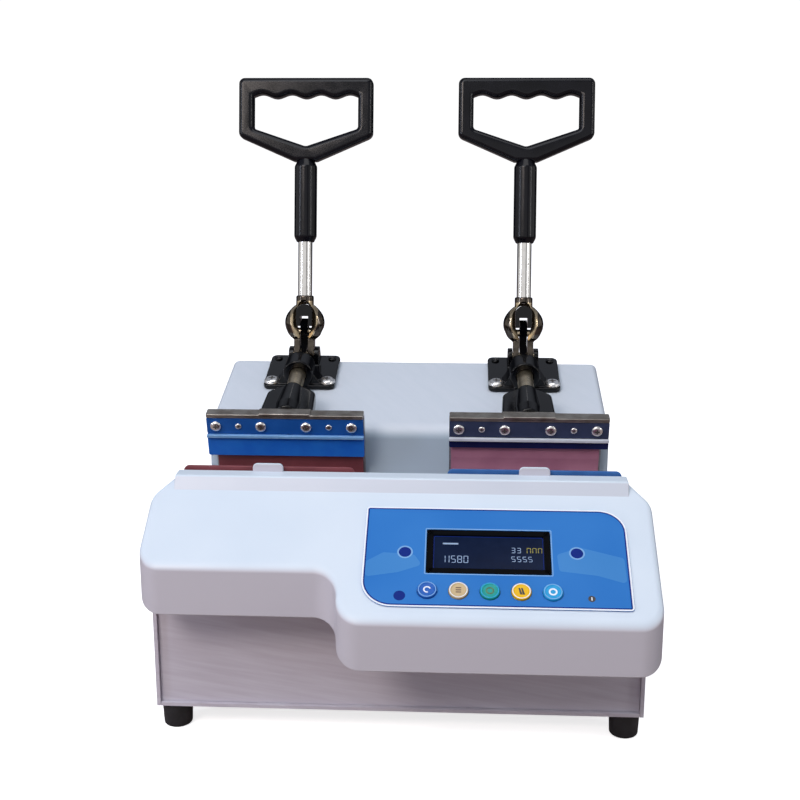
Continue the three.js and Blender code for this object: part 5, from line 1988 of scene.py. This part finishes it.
@dataclass
class Handle(Station):
    """Upright toggle handle: chrome yoke and rod, black core, and the D-shaped grip."""

    lean: float = math.radians(25.3)
    crank_lead: float = math.radians(30)
    crank: float = 19.0
    pivot_back: float = 15.0
    pivot_height: float = 11.0
    rod_radius: float = 5.9
    rod_low: float = 43.4
    rod_top: float = 140.0
    # The yoke's bulb as (height, half width), its widest half width, and its depth against its width
    bulb: tuple[Point, ...] = (
        (5.0, 8.3), (11.0, 8.4), (14.5, 12.0), (19.0, 15.0),
        (25.5, 16.6), (31.5, 15.6), (36.5, 12.4), (40.5, 8.4),
    )
    bulb_half: float = 16.6
    bulb_steps: int = 6
    bulb_depth_share: float = 0.6
    teardrop_half: float = 7.0
    teardrop_low: float = 14.0
    teardrop_wide: float = 25.0
    teardrop_top: float = 41.5
    leg_gap: float = 3.5
    cheek_half: float = 8.3
    cheek_top: float = 12.0
    eye_radius: float = 6.1
    # The collar's radius, foot and top
    collar: Place = (7.4, 37.5, 48.6)
    core_half: float = 7.0
    # Opposite corners of the room for the link in the core
    core_cuts: tuple[tuple[Place, Place], ...] = (
        ((-9, -9, 10), (9, 9, 23.2)), ((-3.45, -9, 10), (3.45, 9, 31.5)),
    )
    # How far past the opening's edge the painted warm reflection reaches, and where it stops at the top
    flat_width: float = 4.4
    flat_top: float = 44.0
    # Rings of the opening's flare: how far each is grown, and its distance from the middle plane
    flare: tuple[Point, ...] = ((0.0, 4.2), (4.6, 8.6), (9.0, 11.0))
    grip_half: float = 55.75
    grip_top: float = 228.0
    grip_shoulder: float = 179.7
    grip_throat: float = 159.5
    grip_throat_half: float = 9.4
    grip_thick: float = 14.0
    grip_bevel: float = 4.0
    inner_top: float = 213.0
    inner_side: float = 43.35
    inner_side_z: float = 186.4
    inner_vee: float = 171.9
    scallop_pitch: float = 24.2
    scallop_depth: float = 1.6
    scallop_steps: int = 96
    sleeve: tuple[Corner, ...] = (
        (0, 93), (7.2, 93, 0.8), (9.35, 97.5, 5.0), (9.35, 155.5, 4.0),
        (6.6, 161, 2.0), (5.0, 165, 1.0), (0, 165),
    )

    @property
    def place(self) -> Matrix:
        """The handle's frame: origin at the pivot pin, Z up the handle."""
        pivot = MACHINE.slope(self.side) @ shift(0, -self.pivot_back, self.pivot_height)
        return pivot @ Matrix.Rotation(-self.lean, 4, "X")

    def build(self) -> None:
        """Makes the handle from the pivot up."""
        self.yoke()
        self.core()
        r, low, high = self.rod_radius, self.rod_low, self.rod_top
        bar = lathe([(0, low), (r, low, 0.4), (r, high, 0.6), (0, high)], sides=72)
        self.add("rod_bar", bar, Palette.chrome, "chrome", "handle", "handle_rod")
        self.grip()

    def teardrop(self, grow: float) -> Outline:
        """Outline of the yoke's opening, as (x, z).

        Args:
            grow: How far it is grown, or shrunk where it is negative.

        Returns:
            The outline.
        """
        half, gap = self.teardrop_half, self.leg_gap
        low, wide, top = self.teardrop_low, self.teardrop_wide, self.teardrop_top
        corners = [
            (-gap, low), (gap, low), (half, wide, 9.0),
            (half, top, 6.6), (-half, top, 6.6), (-half, wide, 9.0),
        ]
        return inset(rounded(corners), -grow)

    def skin(self) -> list[Point]:
        """The bulb's profile as a smooth curve through its sizes.

        Returns:
            Its (radius, height) points.
        """
        points = [Vector((x, z)) for z, x in self.bulb]
        last = len(points) - 1
        smooth: list[Point] = []
        for i in range(last):
            p0, p1, p2, p3 = points[max(0, i - 1)], points[i], points[i + 1], points[min(last, i + 2)]
            for k in range(self.bulb_steps):
                t = k / self.bulb_steps
                p = 0.5 * (
                    2 * p1 + (p2 - p0) * t + (2 * p0 - 5 * p1 + 4 * p2 - p3) * t * t
                    + (3 * p1 - p0 - 3 * p2 + p3) * t * t * t
                )
                smooth.append((min(p.x, self.bulb_half), p.y))
        return [*smooth, (points[-1].x, points[-1].y)]

    def on_flat(self, point: Vector) -> bool:
        """Whether a point of the yoke lies on the flared edge of its opening, or inside it.

        Args:
            point: The point, in the handle's frame.

        Returns:
            True if it does.
        """
        low, gap = self.teardrop_low, self.leg_gap
        share = min(1.0, max(0.0, (point.z - low) / (self.teardrop_wide - low)))
        narrow = gap + (self.teardrop_half - gap) * share
        return low < point.z < self.flat_top and abs(point.x) < narrow + self.flat_width

    def yoke(self) -> None:
        """Chrome bulb with its teardrop opening, collar and the two cheeks on the pivot pin."""
        skin, deep, pin = self.skin(), 20.0, MACHINE.pin_bore
        bulb = turned([(0, skin[0][1]), *skin, (0, skin[-1][1])], sides=96)
        bulb.transform(Matrix.Diagonal((1, self.bulb_depth_share, 1, 1)))
        half, eye_r = self.cheek_half, self.eye_radius
        neck = box((-half, -eye_r, 0), (half, eye_r, self.cheek_top), bevel=0.5)
        eye = moved(rod(eye_r, -half, half), TURN_TO_X)
        r, low, high = self.collar
        collar = lathe([(0, low), (r, low), (r, high, 1.3), (0, high)], sides=72)
        body = cast([bulb, neck, eye, collar], voxel=0.35, smoothing=3)
        flares = [
            loft([[Vector((p.x, sign * out, p.y)) for p in self.teardrop(grow)] for grow, out in self.flare])
            for sign in (-1, 1)
        ]
        lead = self.crank_lead - self.lean
        crank = shift(0, self.crank * math.sin(lead), self.crank * math.cos(lead))
        combine(
            body,
            Work.CUT,
            moved(slab(self.teardrop(0), -deep, deep), ALONG_Y),
            box((-self.leg_gap, -deep, -8), (self.leg_gap, deep, 20)),
            *flares,
            moved(rod(pin, -deep, deep, sides=40), TURN_TO_X),
            moved(rod(pin, -deep, deep, sides=40), crank, TURN_TO_X),
            rod(self.rod_radius + MACHINE.gap, self.rod_low - MACHINE.gap, 52, sides=56),
        )
        # Faces on the flares get the painted warm reflection, the others the painted dark one
        warm_reflection_faces = [self.on_flat(face.center) for face in body.data.polygons]
        made = self.add("yoke_casting", body, Palette.yoke, "chrome", "handle", "handle_yoke", crease=40)
        made.data.materials.append(Palette.yoke_flat.material())
        for face, flat in zip(made.data.polygons, warm_reflection_faces):
            face.material_index = int(flat)

    def core(self) -> None:
        """Black filler in the yoke's opening, cut out for the link between its legs."""
        half = self.core_half
        body = scratch(moved(slab(self.teardrop(-MACHINE.gap), -half, half, bevel=0.4), ALONG_Y))
        combine(body, Work.CUT, *[box(*corners) for corners in self.core_cuts])
        self.add("yoke_filler", body, Palette.enamel, "black_plastic", "handle", "yoke_core")

    def hole(self) -> Outline:
        """The D's opening, its upper edge scalloped for the fingers.

        Returns:
            The (x, z) outline.
        """
        side, steps, pitch, past = self.inner_side, self.scallop_steps, self.scallop_pitch, self.grip_top + 2
        corners = [
            (-side, past), (-side, self.inner_side_z, 3.0), (0, self.inner_vee, 6.0),
            (side, self.inner_side_z, 3.0), (side, past),
        ]
        walls = sorted((p for p in rounded(corners, 8) if p.y < past - 1), key=lambda p: p.x)
        top = []
        for k in range(steps + 1):
            x = side - 2 * side * k / steps
            wave = math.cos(2 * math.pi * (x - pitch / 2) / pitch)
            top.append(Vector((x, self.inner_top + self.scallop_depth * wave)))
        return counter_clockwise(walls + top)

    def grip(self) -> None:
        """D-shaped ring with bevelled faces, and the long sleeve under it."""
        half, throat = self.grip_half, self.grip_throat_half
        thick, bevel = self.grip_thick / 2, self.grip_bevel
        corners = [
            (-throat, self.grip_throat), (throat, self.grip_throat), (half, self.grip_shoulder, 6.0),
            (half, self.grip_top, 5.0), (-half, self.grip_top, 5.0), (-half, self.grip_shoulder, 6.0),
        ]
        body = scratch(moved(slab(rounded(corners), -thick, thick, bevel, steps=5), ALONG_Y))
        # Rings of the window's rounded mouth: how far each is grown, and how far it lies past the face
        flare = [(-bevel, 0.01), (-bevel * 0.45, -bevel * 0.25), (-bevel * 0.12, -bevel * 0.6), (0, -bevel)]
        rows = [(grow, -thick - past) for grow, past in flare]
        rows += [(grow, thick + past) for grow, past in flare[::-1]]
        hole = self.hole()
        cutter = moved(loft([lifted(inset(hole, grow), z) for grow, z in rows]), ALONG_Y)
        combine(body, Work.CUT, cutter)
        combine(body, Work.JOIN, lathe(self.sleeve, sides=80, steps=6))
        gap = MACHINE.gap
        combine(body, Work.CUT, rod(self.rod_radius + gap, 90, self.rod_top + gap, sides=56))
        self.add("grip_moulding", body, Palette.grip, "black_plastic", "handle", "hand_grip", crease=38)


def main() -> None:
    """Builds the studio and every sub-assembly, in order."""
    logging.basicConfig(level=logging.INFO, format="%(message)s")
    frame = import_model()
    shop = Workshop(frame["nodes"], MACHINE.to_frame())
    Studio().build()
    panel = ControlPanel(shop)
    parts = [Cabinet(shop), Console(shop, panel), panel, Housing(shop)]
    parts += [kind(shop, side) for side in Side for kind in (ToggleDrive, Jaws, Handle)]
    for part in parts:
        part.build()
    for made in shop.made:
        LOG.info("piece %s", made.name)


if __name__ == "__main__":
    main()
